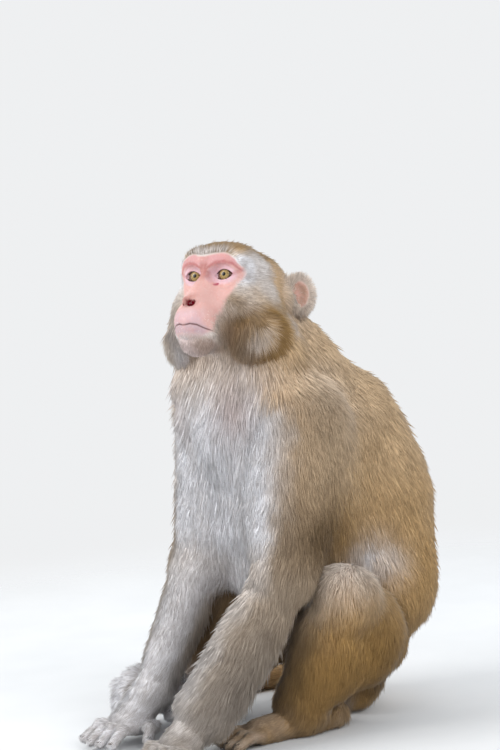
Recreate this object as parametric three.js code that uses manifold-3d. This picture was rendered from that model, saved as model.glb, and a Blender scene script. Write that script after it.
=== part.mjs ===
// Rhesus macaque sitting on its haunches, both hands on the ground in front of it, head turned to its
// left and lifted. A still, life-size model of the whole animal with its coat. Millimetres, +Z up. The
// animal faces -Y with its left side towards +X. The origin is the middle of the flat it sits on.
//
// Every length of the body is described by a few round cones and eggs of flesh, each with the depth of
// the coat over it. wrap() lays rings of points over the softly joined forms, coat included, and
// manifold-3d only joins digits to palms and cuts each length of the body clear of its neighbours.
import * as THREE from "three";
import { mergeVertices } from "three/addons/utils/BufferGeometryUtils.js";
import Module from "manifold-3d";

const wasm = await Module();
wasm.setup();

// ---- driving dimensions ----
const GAP = 0.3; // clear space left between neighbouring lengths of the body
const EYE_RADIUS = 11.2;
const HALF_EYES = 17; // from the middle of the face to the middle of an eye
const EYE_DEPTH = 10.2; // from the front of the pupils back to the middle of the eyeballs
const LID_OPENING = [11, 12, 6.5]; // half sizes of the hollow that bares the eye
const PINNA = { thick: 5, deep: 16, tall: 20.5 }; // half sizes of the ear's leaf
const PINNA_AT = [54, 81, -10]; // its middle, on the head
const PINNA_TURN = 40; // its back edge swings out from the side of the head
const HEAD_AT = [14.6, -155.5, 460]; // the point between the pupils
const HEAD_YAW = 19; // turned to its left
const HEAD_LIFT = 12; // face lifted
const HEAD_ROLL = -1; // tipped a little to its right
const FINGER = { length: 36, root: 4.6, tip: 3.5, droop: 9 };
const THUMB = { length: 23, root: 5, tip: 3.9, droop: 8 };
const BIG_TOE = { length: 34, root: 6.4, tip: 5 };
const DIGIT_SPREAD = 9.6; // between the roots of two fingers or toes
const NAIL = [2.6, 4.4, 1.5]; // half sizes of a nail: wide, long, thick

// Joints of the limbs, with the flesh's radius at the ends of the upper arm and the forearm. The two
// sides of a sitting animal differ: its right heel is down and the rest of that foot is raised.
const ARMS = {
  left: { shoulder: [62, -98, 308], elbow: [72, -129, 172], wrist: [37, -213, 48],
    knuckles: [35, -240, 18], upper: [34, 25], fore: [18, 20], coat: 12 },
  right: { shoulder: [-59, -101, 308], elbow: [-67, -130, 170], wrist: [-65, -204, 48],
    knuckles: [-68, -229, 22], upper: [30, 21], fore: [21, 12], coat: 8 },
};
const LEGS = {
  left: { hip: [44, -10, 82], knee: [99, -82, 142], ankle: [50, -103, 30], heel: [50, -70, 16],
    ball: [40, -150, 10], coat: 5, toe: { length: 32, root: 4.9, tip: 3.9 } },
  right: { hip: [-44, -10, 82], knee: [-98, -92, 142], ankle: [-98, -118, 42], heel: [-90, -104, 18],
    ball: [-105, -187, 42], coat: 13, toe: { length: 17, root: 5.4, tip: 4.6 } },
};
const TAIL = {
  path: [[-8, 24, 46], [-42, 36, 20], [-80, 46, 14], [-116, 38, 13], [-136, 10, 12], [-140, -32, 11]],
  radius: [15, 11, 9, 8, 7, 5],
  coat: 7,
};

// ---- colours ----
const SHADES = {
  coat: { color: 0xa08a68, roughness: 0.9 },
  leg: { color: 0xa8834f, roughness: 0.9 },
  arm: { color: 0x9d907c, roughness: 0.9 },
  skin: { color: 0xc9a08f, roughness: 0.65 },
  eye: { color: 0x7b6032, roughness: 0.12 },
};

const V = (p) => new THREE.Vector3(...p);
const radians = THREE.MathUtils.degToRad;

// ---- forms: each gives the distance from a point to its surface, negative inside ----

/** A round cone of flesh from a to b. flat = [direction, ratio] thins it along that direction. */
function cone(a, ra, b, rb, { coat = 8, soft = 10, flat = null } = {}) {
  const start = V(a);
  const run = V(b).sub(start);
  const thin = flat && { way: V(flat[0]).normalize(), ratio: flat[1] };
  const distance = (p, grow) => {
    const q = p.clone().sub(start);
    const t = THREE.MathUtils.clamp(q.dot(run) / run.lengthSq(), 0, 1);
    q.addScaledVector(run, -t);
    const radius = ra + (rb - ra) * t;
    if (!thin) return q.length() - radius - grow;
    const along = q.dot(thin.way);
    q.addScaledVector(thin.way, along / thin.ratio - along);
    const lean = q.dot(thin.way) / (q.length() + 1e-9);
    return (q.length() - radius) / Math.sqrt(lean * lean * (thin.ratio ** -2 - 1) + 1) - grow;
  };
  return { distance, coat, soft };
}

/** An egg of flesh: centre, three half sizes and the matrix that turns it. */
function egg(centre, radii, { coat = 8, soft = 10, turned = new THREE.Matrix4() } = {}) {
  const middle = V(centre);
  const back = turned.clone().transpose();
  const distance = (p, grow) => {
    const q = p.clone().sub(middle).applyMatrix4(back);
    const r = V(radii).addScalar(grow);
    const k = q.clone().divide(r).length() + 1e-9;
    return (k * (k - 1)) / (q.divide(r).divide(r).length() + 1e-9);
  };
  return { distance, coat, soft };
}

/** Distance to all the forms softly joined, with the coat over them and grow more all round. */
function body(forms, p, grow = 0) {
  let all = 1000;
  for (const form of forms) {
    const one = form.distance(p, form.coat);
    const h = Math.max(form.soft - Math.abs(all - one), 0) / form.soft;
    all = Math.min(all, one) - (h * h * form.soft) / 4;
  }
  return all - grow;
}

/** How far a ray from inside the forms goes before it leaves them. */
function reach(forms, from, way, grow) {
  const p = from.clone();
  let r = 0;
  for (let step = 0; step < 200; step++) {
    const d = body(forms, p, grow);
    if (d > -0.01) break;
    r += Math.max(-d * 0.9, 0.02);
    p.copy(from).addScaledVector(way, r);
  }
  return r;
}

/**
 * A closed surface over the forms. Rings of points stand square to the path along it, and at both
 * ends they tip over until they meet in a pole. Rings run level where level is true.
 */
function wrap(path, forms, { around = 12, along = 5, cap = 3, level = false, grow = 0 } = {}) {
  const curve = new THREE.CatmullRomCurve3(path.map(V));
  const frames = curve.computeFrenetFrames(along - 1, false);
  const rays = [];
  const addRing = (at, station, tip) => {
    const ahead = level ? new THREE.Vector3(0, 0, 1) : frames.tangents[station];
    const side = level ? new THREE.Vector3(1, 0, 0) : frames.normals[station];
    const across = level ? new THREE.Vector3(0, 1, 0) : frames.binormals[station];
    for (let i = 0; i < around; i++) {
      const turn = (2 * Math.PI * i) / around;
      const out = side.clone().multiplyScalar(Math.cos(turn)).addScaledVector(across, Math.sin(turn));
      rays.push([at, out.multiplyScalar(Math.cos(tip)).addScaledVector(ahead, Math.sin(tip))]);
    }
  };
  const tips = (sign) => Array.from({ length: cap }, (_, i) => (sign * (i + 1) * Math.PI) / 2 / (cap + 1));
  const ends = [curve.getPointAt(0), curve.getPointAt(1)];
  for (const tip of tips(-1).reverse()) addRing(ends[0], 0, tip);
  for (let i = 0; i < along; i++) addRing(curve.getPointAt(i / (along - 1)), i, 0);
  for (const tip of tips(1)) addRing(ends[1], along - 1, tip);
  const firstWay = level ? new THREE.Vector3(0, 0, 1) : frames.tangents[0].clone();
  const lastWay = level ? new THREE.Vector3(0, 0, 1) : frames.tangents[along - 1].clone();
  rays.push([ends[0], firstWay.negate()], [ends[1], lastWay]);

  const places = rays.flatMap(([at, way]) => {
    return at.clone().addScaledVector(way, reach(forms, at, way, grow)).toArray();
  });
  const rings = along + 2 * cap;
  const faces = [];
  for (let j = 0; j + 1 < rings; j++) {
    for (let i = 0; i < around; i++) {
      const [a, b] = [j * around + i, j * around + ((i + 1) % around)];
      faces.push(a, b, b + around, a, b + around, a + around);
    }
  }
  for (let i = 0; i < around; i++) {
    const next = (i + 1) % around;
    const last = (rings - 1) * around;
    faces.push(rings * around, next, i, rings * around + 1, last + i, last + next);
  }
  const geometry = new THREE.BufferGeometry();
  geometry.setAttribute("position", new THREE.Float32BufferAttribute(places, 3));
  geometry.setIndex(faces);
  return geometry;
}

// ---- solids ----

/** A closed geometry as a solid that can be joined and cut. */
function solid(geometry) {
  const bare = geometry.clone();
  bare.deleteAttribute("normal");
  bare.deleteAttribute("uv");
  const merged = mergeVertices(bare, 1e-4);
  return new wasm.Manifold(new wasm.Mesh({
    numProp: 3,
    vertProperties: new Float32Array(merged.attributes.position.array),
    triVerts: new Uint32Array(merged.index.array),
  }));
}

/** The largest piece of a solid, which drops the slivers that a cut leaves behind. */
function largest(shape) {
  return shape.decompose().sort((a, b) => b.volume() - a.volume())[0];
}

function toGeometry(shape) {
  const mesh = shape.getMesh();
  const geometry = new THREE.BufferGeometry();
  geometry.setAttribute("position", new THREE.Float32BufferAttribute(mesh.vertProperties, 3));
  geometry.setIndex([...mesh.triVerts]);
  geometry.computeVertexNormals();
  return geometry;
}

/** An ellipsoid, turned and placed. */
function ball(centre, radii, turned = new THREE.Matrix4(), around = 10, rows = 8) {
  const place = turned.clone().scale(V(radii)).setPosition(...centre);
  return solid(new THREE.SphereGeometry(1, around, rows).applyMatrix4(place));
}

const BELOW = 60; // deeper than anything that is cut off flat at the floor
const floor = solid(new THREE.BoxGeometry(900, 900, BELOW).translate(0, 0, -BELOW / 2));

/** A length of the body: its own shape, and the slightly larger one that its neighbours are cut by. */
function length(path, forms, rings) {
  return {
    shape: solid(wrap(path, forms, rings)),
    clear: solid(wrap(path, forms, { ...rings, grow: GAP })),
  };
}

const group = new THREE.Group();

/** Adds one sub-part, cut flat at the floor and clear of the neighbours given. */
function place(name, shade, shape, neighbours = []) {
  const cut = neighbours.reduce((rest, other) => rest.subtract(other), shape.subtract(floor));
  const material = new THREE.MeshStandardMaterial({ metalness: 0, ...SHADES[shade] });
  const mesh = new THREE.Mesh(toGeometry(largest(cut)), material);
  mesh.name = name;
  group.add(mesh);
}

/** A turn about the upright axis, after a tip forwards (positive) or backwards, after a roll. */
function turned(yaw, tip = 0, roll = 0) {
  return new THREE.Matrix4().makeRotationZ(radians(yaw))
    .multiply(new THREE.Matrix4().makeRotationX(radians(tip)))
    .multiply(new THREE.Matrix4().makeRotationY(radians(roll)));
}

const mix = (a, b, t) => V(a).lerp(V(b), t);
const SIDES = { left: 1, right: -1 };

// ---- trunk: haunches, belly, hunched back, chest and shoulders ----

const trunkForms = [
  egg([0, -10, 65], [55, 38, 58], { soft: 26, coat: 11 }), // seat
  egg([0, 27, 132], [66, 73, 68], { soft: 40, coat: 11 }), // rump
  egg([0, -62, 176], [48, 56, 82], { soft: 36, coat: 11 }), // belly
  egg([0, 27, 212], [63, 76, 70], { soft: 40, coat: 11 }), // loins
  egg([0, -8, 268], [60, 82, 76], { soft: 40, coat: 12, turned: turned(0, 34) }), // hunched back
  cone([0, -34, 308], 55, [0, -56, 352], 44, { soft: 40, coat: 12 }),
  egg([2, -112, 318], [42, 43, 50], { soft: 24, coat: 14, turned: turned(0, 20) }), // breast
  egg([0, -88, 252], [44, 44, 62], { soft: 36, coat: 12 }),
  ...[1, -1].flatMap((s) => [
    egg([s * 50, -86, 302], [34, 40, 54], { soft: 30, coat: 11, turned: turned(0, 16) }), // shoulder
    egg([s * 48, -84, 226], [30, 48, 80], { soft: 34, coat: 10 }), // side of the chest
  ]),
];
const trunk = length([[0, 2, 40], [0, 8, 120], [0, 2, 200], [0, -30, 270], [0, -56, 335]], trunkForms,
  { around: 20, along: 11, cap: 3, level: true });
place("trunk", "coat", trunk.shape);

// ---- head, in its own frame: the middle of the eyes, left, back and up ----

const HEAD_TURN = turned(HEAD_YAW, -HEAD_LIFT, HEAD_ROLL);
const HEAD = HEAD_TURN.clone().setPosition(...HEAD_AT);
const onHead = (x, y, z) => new THREE.Vector3(x, y, z).applyMatrix4(HEAD).toArray();

const headEgg = (c, r, form) => egg(onHead(...c), r, { turned: HEAD_TURN, ...form });
const headCone = (a, ra, b, rb, form) => cone(onHead(...a), ra, onHead(...b), rb, form);

const headForms = [
  headEgg([0, 55, -2], [39, 48, 32], { soft: 16, coat: 7 }), // braincase
  headEgg([0, 25, 9], [36, 30, 23], { soft: 12, coat: 7 }), // forehead
  headEgg([0, 22, -8], [33, 26, 25], { soft: 14, coat: 2 }), // face
  headCone([0, 14, -27], 22, [0, -15, -40], 16.5, { soft: 14, coat: 2 }), // muzzle
  headCone([-4.6, -22.3, -46.5], 13.8, [4.6, -22.3, -46.5], 13.8, { soft: 10, coat: 2 }), // lips
  headCone([0, 26, -46], 18, [0, -6, -58], 15, { soft: 10, coat: 3 }), // lower jaw
  headCone([-4.5, -16, -60], 12.8, [4.5, -16, -60], 12.8, { soft: 8, coat: 2 }),
  headEgg([0, -17.5, -68], [12, 11.5, 10], { soft: 8, coat: 3 }), // chin
  headCone([0, 4.5, -1], 6, [0, -20, -22], 7.5, { soft: 12, coat: 1 }), // bridge of the nose
  headCone([0, -25, -25.5], 4.6, [0, -37.5, -29.6], 3.6, { soft: 5, coat: 1 }), // tip of the nose
  ...[1, -1].flatMap((s) => [
    headEgg([s * 27, 34, -30], [24, 32, 24], { soft: 16, coat: 6 }), // cheek
    headEgg([s * 24, 44, -50], [20, 26, 24], { soft: 14, coat: 9 }),
    headEgg([s * 38, 33, -53], [16.5, 22, 18], { soft: 11, coat: 13 }), // ruff
    headCone([0, 3, 13], 6, [s * 19, 3.3, 16.2], 6.5, { soft: 8, coat: 2 }), // brow ridge
    headCone([s * 19, 3.3, 16.2], 6.5, [s * 33, 14.6, 6], 5.4, { soft: 8, coat: 2 }),
  ]),
];
const head = length([onHead(0, 66, -10), onHead(0, 36, -14), onHead(0, 4, -30)], headForms,
  { around: 22, along: 5, cap: 6 });

const sockets = [];
for (const [side, s] of Object.entries(SIDES)) {
  const centre = onHead(s * HALF_EYES, EYE_DEPTH, 0);
  const eyeball = (grow) => ball(centre, Array(3).fill(EYE_RADIUS + grow), HEAD_TURN);
  const lidOpening = ball(onHead(s * HALF_EYES, EYE_DEPTH - 13, 0), LID_OPENING, HEAD_TURN);
  place(`eye_${side}`, "eye", eyeball(0));
  sockets.push(eyeball(GAP), lidOpening);
}
place("head", "coat", head.shape, [trunk.clear, ...sockets]);

const ears = [];
for (const [side, s] of Object.entries(SIDES)) {
  const [x, y, z] = PINNA_AT;
  const leaf = HEAD_TURN.clone().multiply(turned(-s * PINNA_TURN));
  const radii = [PINNA.thick, PINNA.deep, PINNA.tall];
  const scoopRadii = [5, PINNA.deep * 0.7, PINNA.tall * 0.72];
  const scoop = ball(onHead(s * (x + 3), y - 2.5, z + 1), scoopRadii, leaf, 9, 6);
  const pinna = ball(onHead(s * x, y, z), radii, leaf, 12, 8).subtract(scoop);
  place(`ear_${side}`, "skin", pinna, [head.clear, trunk.clear]);
  ears.push(ball(onHead(s * x, y, z), radii.map((r) => r + GAP), leaf, 12, 8));
}

const neckForms = [
  cone([0, -56, 348], 42, [0, -82, 400], 38, { soft: 24, coat: 12 }),
  cone([2, -108, 350], 30, [6, -118, 392], 30, { soft: 24, coat: 14 }),
  egg([-23, -127, 366], [29, 31, 42], { soft: 24, coat: 14 }),
  egg([34, -108, 366], [26, 30, 40], { soft: 24, coat: 13 }),
];
const neck = length([[0, -70, 345], [2, -84, 378], [4, -96, 405]], neckForms,
  { around: 12, along: 4, cap: 2 });
place("neck", "coat", neck.shape, [trunk.clear, head.clear, ...ears]);

// ---- digits ----

/** A finger or toe from its root, bent down to the ground, with its nail. */
function digit(root, heading, size) {
  const ahead = turned(heading);
  const step = (y, z) => V([0, -y, z]).applyMatrix4(ahead).add(V(root)).toArray();
  const middle = step(size.length * 0.5, 1.5);
  const tip = step(size.length, -size.droop);
  const forms = [
    cone(root, size.root, middle, size.root * 0.84, { soft: 3.5, coat: 2.5 }),
    cone(middle, size.root * 0.84, tip, size.tip, { soft: 2.5, coat: 1.5 }),
  ];
  const flesh = solid(wrap([root, middle, tip], forms, { around: 5, along: 3, cap: 1 }));
  const nail = ball(step(size.length + 2.4, size.tip * 0.7 - size.droop), NAIL, ahead, 4, 3);
  return flesh.add(nail);
}

// ---- arms and hands ----

const arms = [];
for (const [side, s] of Object.entries(SIDES)) {
  const { shoulder, elbow, wrist, knuckles, coat } = ARMS[side];
  const [armTop, armEnd] = ARMS[side].upper;
  const [foreTop, foreEnd] = ARMS[side].fore;
  const upper = length([mix(shoulder, elbow, 0.12), mix(shoulder, elbow, 0.5), mix(shoulder, elbow, 0.96)],
    [cone(shoulder, armTop, elbow, armEnd, { coat: 9 })], { around: 10, along: 5, cap: 2 });
  const fore = length([mix(elbow, wrist, 0.04), mix(elbow, wrist, 0.5), mix(elbow, wrist, 0.97)],
    [cone(elbow, foreTop, wrist, foreEnd, { coat })], { around: 10, along: 5, cap: 2 });
  place(`upper_arm_${side}`, "arm", upper.shape, [trunk.clear]);
  place(`forearm_${side}`, "arm", fore.shape, [trunk.clear, upper.clear]);
  arms.push(upper.clear, fore.clear);

  const palm = length([mix(wrist, knuckles, 0.1), mix(wrist, knuckles, 0.5), mix(wrist, knuckles, 0.95)],
    [cone(wrist, 14, knuckles, 16, { coat: 7, flat: [[0, 0.3, 1], 0.66] })],
    { around: 8, along: 3, cap: 2 });
  let hand = palm.shape;
  for (let i = 0; i < 4; i++) {
    const across = i - 1.5;
    const root = [knuckles[0] + across * DIGIT_SPREAD, knuckles[1] - 8 + across ** 2, knuckles[2] - 4];
    hand = hand.add(digit(root, across * 10, FINGER));
  }
  const thumb = [knuckles[0] - s * 20, knuckles[1] + 12, knuckles[2] - 5];
  hand = hand.add(digit(thumb, -s * 42, THUMB));
  place(`hand_${side}`, "skin", hand, [fore.clear]);
  arms.push(palm.clear);
}

// ---- legs and feet ----

const thighs = [];
for (const [side, s] of Object.entries(SIDES)) {
  const { hip, knee, ankle, heel, ball: sole, coat, toe } = LEGS[side];
  const thigh = length([hip, [s * 68, -44, 98], mix(hip, knee, 0.92)], [
    cone(hip, 35, knee, 24, { soft: 7, coat: 9 }),
    egg([s * 72, -48, 92], [32, 44, 44], { soft: 14, coat: 9 }),
  ], { around: 12, along: 6, cap: 3 });
  const calf = mix(knee, ankle, 0.5).add(V([-2 * s, 10, 0])).toArray();
  const shank = length([mix(knee, ankle, 0.04), mix(knee, ankle, 0.5), mix(knee, ankle, 0.96)], [
    cone(knee, 22, ankle, 22, { soft: 12, coat: 10 }),
    egg(calf, [28, 30, 44], { soft: 14, coat: 10 }),
  ], { around: 12, along: 5, cap: 3 });
  place(`thigh_${side}`, "leg", thigh.shape, [trunk.clear, ...arms]);
  place(`shank_${side}`, "leg", shank.shape, [trunk.clear, thigh.clear, ...arms]);
  thighs.push(thigh.clear);

  const heading = THREE.MathUtils.radToDeg(Math.atan2(sole[0] - heel[0], heel[1] - sole[1]));
  let foot = solid(wrap([mix(heel, sole, 0.02), mix(heel, sole, 0.5), mix(heel, sole, 0.98)],
    [cone(heel, 16, sole, 14.5, { coat, flat: [[0, 0, 1], 0.8] })], { around: 8, along: 4, cap: 2 }));
  const onFoot = (x, y) => V([x, -y, 0]).applyMatrix4(turned(heading)).add(V(sole)).toArray();
  const droop = sole[2] * 0.7;
  for (let i = 0; i < 4; i++) {
    const across = i - 1.5;
    const root = onFoot(across * DIGIT_SPREAD, 8 - across ** 2);
    foot = foot.add(digit(root, heading + across * 7, { ...toe, droop: droop - 3 }));
  }
  foot = foot.add(digit(onFoot(-s * 14, -44), heading - s * 32, { ...BIG_TOE, droop: droop - 5 }));
  place(`foot_${side}`, "skin", foot, [shank.clear, thigh.clear, ...arms]);
}

// ---- tail, in three lengths laid along the floor ----

const tailForms = TAIL.path.slice(1).map((end, i) => {
  return cone(TAIL.path[i], TAIL.radius[i], end, TAIL.radius[i + 1], { soft: 8, coat: TAIL.coat });
});
const TAIL_LENGTHS = { tail_root: [0, 2], tail_middle: [2, 4], tail_tip: [4, 5] };
const laid = [trunk.clear, ...thighs];
for (const [name, [from, to]] of Object.entries(TAIL_LENGTHS)) {
  const piece = length(TAIL.path.slice(from, to + 1), tailForms.slice(from, to),
    { around: 8, along: 4, cap: 1 });
  place(name, "coat", piece.shape, laid);
  laid.push(piece.clear);
}

export default group;
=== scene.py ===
"""Looks for a still, life-size rhesus macaque that sits on its haunches, hands on the ground.

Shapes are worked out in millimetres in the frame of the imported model: +Z up, the animal faces -Y, its
left side is +X. One skin is drawn over round cones and eggs of flesh, softly joined. The coat is solid
tufts of hair that grow out of that skin. put_mesh() turns millimetres into metres.
"""
import math

import bmesh
import bpy
import numpy as np
from mathutils import Matrix


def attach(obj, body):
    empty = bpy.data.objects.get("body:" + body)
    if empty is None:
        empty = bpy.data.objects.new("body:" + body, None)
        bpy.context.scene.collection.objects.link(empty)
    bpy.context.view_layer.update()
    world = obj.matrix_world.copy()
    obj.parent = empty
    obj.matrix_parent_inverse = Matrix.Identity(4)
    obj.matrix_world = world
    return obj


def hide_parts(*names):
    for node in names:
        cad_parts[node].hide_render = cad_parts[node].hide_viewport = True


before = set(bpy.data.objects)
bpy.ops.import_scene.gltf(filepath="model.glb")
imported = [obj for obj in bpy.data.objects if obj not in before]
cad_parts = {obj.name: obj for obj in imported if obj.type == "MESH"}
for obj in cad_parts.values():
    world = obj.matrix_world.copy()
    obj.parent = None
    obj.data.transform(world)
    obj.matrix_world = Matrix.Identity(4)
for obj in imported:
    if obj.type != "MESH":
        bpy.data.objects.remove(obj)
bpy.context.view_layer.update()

MM = 0.001
SIDES = {"left": 1, "right": -1}
rng = np.random.default_rng(7)


def vec(*p):
    """A point or a direction."""
    return np.array(p, float)


def unit(v):
    """The same direction with a length of 1."""
    return v / (np.linalg.norm(v, axis=-1, keepdims=True) + 1e-12)


def smooth(lo, hi, x):
    """0 below lo, 1 above hi, an S curve between. lo may be larger than hi."""
    t = np.clip((x - lo) / (hi - lo), 0, 1)
    return t * t * (3 - 2 * t)


def turned(yaw=0.0, tip=0.0, roll=0.0):
    """A turn about the upright axis, after a tip forwards, after a roll: columns are left, back and up."""
    y, t, r = np.radians([yaw, tip, roll])
    about_z = np.array([[math.cos(y), -math.sin(y), 0], [math.sin(y), math.cos(y), 0], [0, 0, 1]])
    about_x = np.array([[1, 0, 0], [0, math.cos(t), -math.sin(t)], [0, math.sin(t), math.cos(t)]])
    about_y = np.array([[math.cos(r), 0, math.sin(r)], [0, 1, 0], [-math.sin(r), 0, math.cos(r)]])
    return about_z @ about_x @ about_y


# ---------------------------------------------------------------- the body's measures, millimetres

HEAD_AT = vec(14.6, -155.5, 460)  # the point between the pupils
HEAD_TURN = turned(19, -12, -1)  # to its left, face lifted, tipped a little to its right
EYE_RADIUS = 11.2
HALF_EYES = 17  # half the way between the pupils
EYE_DEPTH = 10.2  # of the eyeball's middle behind the face's front
PINNA_AT = vec(54, 81, -10)  # middle of the ear's leaf, in the head's frame
PINNA_TURN = 40  # degrees by which the leaf opens outwards
DIGIT_SPREAD = 9.6  # between the roots of two fingers or toes
RUFF_AT = vec(53, 12, -53)  # the whorl on the jowl, in the head's frame, and how far it reaches
RUFF_REACH = 20
FLOOR = 0.4  # skin stops this far above the ground

# joints, then radii of the flesh at both ends of the upper arm and the forearm, and the coat's depth
ARMS = {
    "left": dict(shoulder=(62, -98, 308), elbow=(72, -129, 172), wrist=(37, -213, 48),
                 knuckles=(35, -240, 18), upper=(34, 25), fore=(18, 20), coat=12),
    "right": dict(shoulder=(-59, -101, 308), elbow=(-67, -130, 170), wrist=(-65, -204, 48),
                  knuckles=(-68, -229, 22), upper=(30, 21), fore=(21, 12), coat=8),
}
LEGS = {
    "left": dict(hip=(44, -10, 82), knee=(99, -82, 142), ankle=(50, -103, 30), heel=(50, -70, 16),
                 ball=(40, -150, 10), coat=5),
    "right": dict(hip=(-44, -10, 82), knee=(-98, -92, 142), ankle=(-98, -118, 42), heel=(-90, -104, 18),
                  ball=(-105, -187, 42), coat=13),
}
TAIL = [(-8, 24, 46), (-42, 36, 20), (-80, 46, 14), (-116, 38, 13), (-136, 10, 12), (-140, -32, 11)]
TAIL_RADIUS = [15, 11, 9, 8, 7, 5]


def on_head(x, y, z):
    """A point given in the head's frame, in the body's."""
    return HEAD_AT + HEAD_TURN @ vec(x, y, z)


def in_head(points):
    """Points in the head's own frame: left, back and up from the middle of the eyes."""
    return (points - HEAD_AT) @ HEAD_TURN


def folded(q):
    """Points with the right side laid over the left."""
    return q * [0, 1, 1] + np.abs(q) * [1, 0, 0]


def around(count):
    """Angles of a full turn in equal steps."""
    return np.linspace(0, 2 * math.pi, count, endpoint=False)


# ---------------------------------------------------------------- forms of flesh

GROUPS = {
    "trunk": "torso", "neck": "torso", "head": "head", "ear": "head", "upper_arm": "arm", "forearm": "arm",
    "hand": "arm", "thigh": "leg", "shank": "leg", "foot": "leg", "tail_root": "tail",
    "tail_middle": "tail", "tail_tip": "tail",
}
UNDERCOAT = 0.4  # share of the coat's depth that is too dense to see into: the skin is drawn on it


def plain(part):
    """The part's name without its side."""
    return part.replace("_left", "").replace("_right", "")


class Form:
    """A shape known by the distance to its surface. soft is how widely it melts into the rest, coat the
    depth of hair over it, lay the way that hair lies, and cut takes flesh away instead of adding it."""

    def __init__(self, part, soft, coat, lay, cut=False, group=None):
        self.part, self.soft, self.lay, self.cut = part, soft, lay, cut
        self.group = group or GROUPS[plain(part)]
        self.coat, self.under = coat * (1 - UNDERCOAT), coat * UNDERCOAT


class Cone(Form):
    """A round cone from a to b: the distance to the line less a radius that runs from ra to rb. thin is
    a direction and a ratio by which the cone is flattened."""

    def __init__(self, part, a, ra, b, rb, soft=10, coat=8, lay=None, thin=None, cut=False):
        a, b = vec(*a), vec(*b)
        super().__init__(part, soft, coat, unit(b - a) if lay is None else lay, cut)
        self.a, self.run, self.thin = a, b - a, thin
        self.ra, self.rb = ra + self.under, rb + self.under
        self.middle = (a + b) / 2
        self.span = np.linalg.norm(b - a) / 2 + max(self.ra, self.rb)

    def distance(self, points):
        q = points - self.a
        t = np.clip(q @ self.run / (self.run @ self.run + 1e-9), 0, 1)
        q = q - t[:, None] * self.run
        radius = self.ra + (self.rb - self.ra) * t
        if self.thin is None:
            return np.linalg.norm(q, axis=1) - radius
        way, ratio = unit(vec(*self.thin[0])), self.thin[1]
        q = q + np.outer((q @ way) * (1 / ratio - 1), way)
        length = np.linalg.norm(q, axis=1) + 1e-9
        return (length - radius) / np.sqrt((q @ way / length) ** 2 * (ratio ** -2 - 1) + 1)

    def shell(self, grow=0.0):
        """Rings along the line that close in a half ball at each end."""
        tips = np.linspace(-math.pi / 2, math.pi / 2, 14)
        at = np.repeat([0.0, 1.0], 7)
        turn = around(16)
        ahead = unit(self.run) if np.linalg.norm(self.run) > 1e-6 else vec(0, 0, 1)
        side = unit(np.cross(ahead, vec(0.3, 0.5, 0.81)))
        up = np.cross(ahead, side)
        radius = self.ra + (self.rb - self.ra) * at + grow
        out = np.cos(turn)[None, :, None] * side + np.sin(turn)[None, :, None] * up
        offset = radius[:, None, None] * (np.cos(tips)[:, None, None] * out
                                          + np.sin(tips)[:, None, None] * ahead)
        if self.thin is not None:
            way, ratio = unit(vec(*self.thin[0])), self.thin[1]
            offset = offset - (offset @ way)[..., None] * way * (1 - ratio)
        return self.a + at[:, None, None] * self.run + offset


class Egg(Form):
    """An ellipsoid: centre, three half sizes and a turn. The distance is k (k - 1) / |q / r^2| with
    k = |q / r|, which is exact at the surface."""

    def __init__(self, part, centre, radii, turn=None, soft=10, coat=8, lay=(0, 0, -1), **form):
        super().__init__(part, soft, coat, lay if callable(lay) else vec(*lay), **form)
        self.middle, self.radii = vec(*centre), vec(*radii) + self.under
        self.turn = np.eye(3) if turn is None else turn
        self.span = self.radii.max()

    def distance(self, points):
        q = (points - self.middle) @ self.turn
        k = np.linalg.norm(q / self.radii, axis=1) + 1e-9
        return k * (k - 1) / (np.linalg.norm(q / self.radii ** 2, axis=1) + 1e-9)

    def shell(self, grow=0.0):
        """Rings of latitude and longitude."""
        tips = np.linspace(-math.pi / 2, math.pi / 2, 18)
        turn = around(24)
        ball = np.stack([np.cos(tips)[:, None] * np.cos(turn), np.cos(tips)[:, None] * np.sin(turn),
                         np.sin(tips)[:, None] + 0 * turn], -1)
        return self.middle + (ball * (self.radii + grow)) @ self.turn.T


class Cord(Form):
    """Round cones end to end along a path: the distance to the nearest of them, so that the joints don't
    swell."""

    def __init__(self, part, path, radii, **form):
        super().__init__(part, form["soft"], form["coat"], form.get("lay", vec(0, 0, -1)),
                         form.get("cut", False))
        self.cones = [Cone(part, a, ra, b, rb, coat=form["coat"])
                      for a, ra, b, rb in zip(path, radii, path[1:], radii[1:])]
        self.middle = np.mean([cone.middle for cone in self.cones], axis=0)
        self.span = max(np.linalg.norm(cone.middle - self.middle) + cone.span for cone in self.cones)

    def distance(self, points):
        return np.min([cone.distance(points) for cone in self.cones], axis=0)


class LidOpening(Form):
    """The gap between two eyelids: where two round arcs overlap, seen along the eye's own axis, down to
    just under the eyeball's surface."""

    def __init__(self, side):
        super().__init__("head", 0.6, 0, vec(0, 0, -1), cut=True)
        self.sign = SIDES[side]
        self.middle = on_head(self.sign * HALF_EYES, EYE_DEPTH, 0)
        self.span = EYE_RADIUS + 6

    def distance(self, points):
        q = (points - self.middle) @ HEAD_TURN
        return np.maximum(lid_gap(q[:, 0] * self.sign, q[:, 2]),
                          np.maximum(EYE_RADIUS - 1.3 - np.linalg.norm(q, axis=1), q[:, 1] + 3))


LID_HALF = 9.9  # from the middle of the eye to a corner
LID_SHIFT = 0.8  # the outer corner is the further from the middle
LID_RISE = 5.6  # the upper lid's arc over the corners
LID_FALL = 4.8  # the lower lid's arc under them


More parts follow.
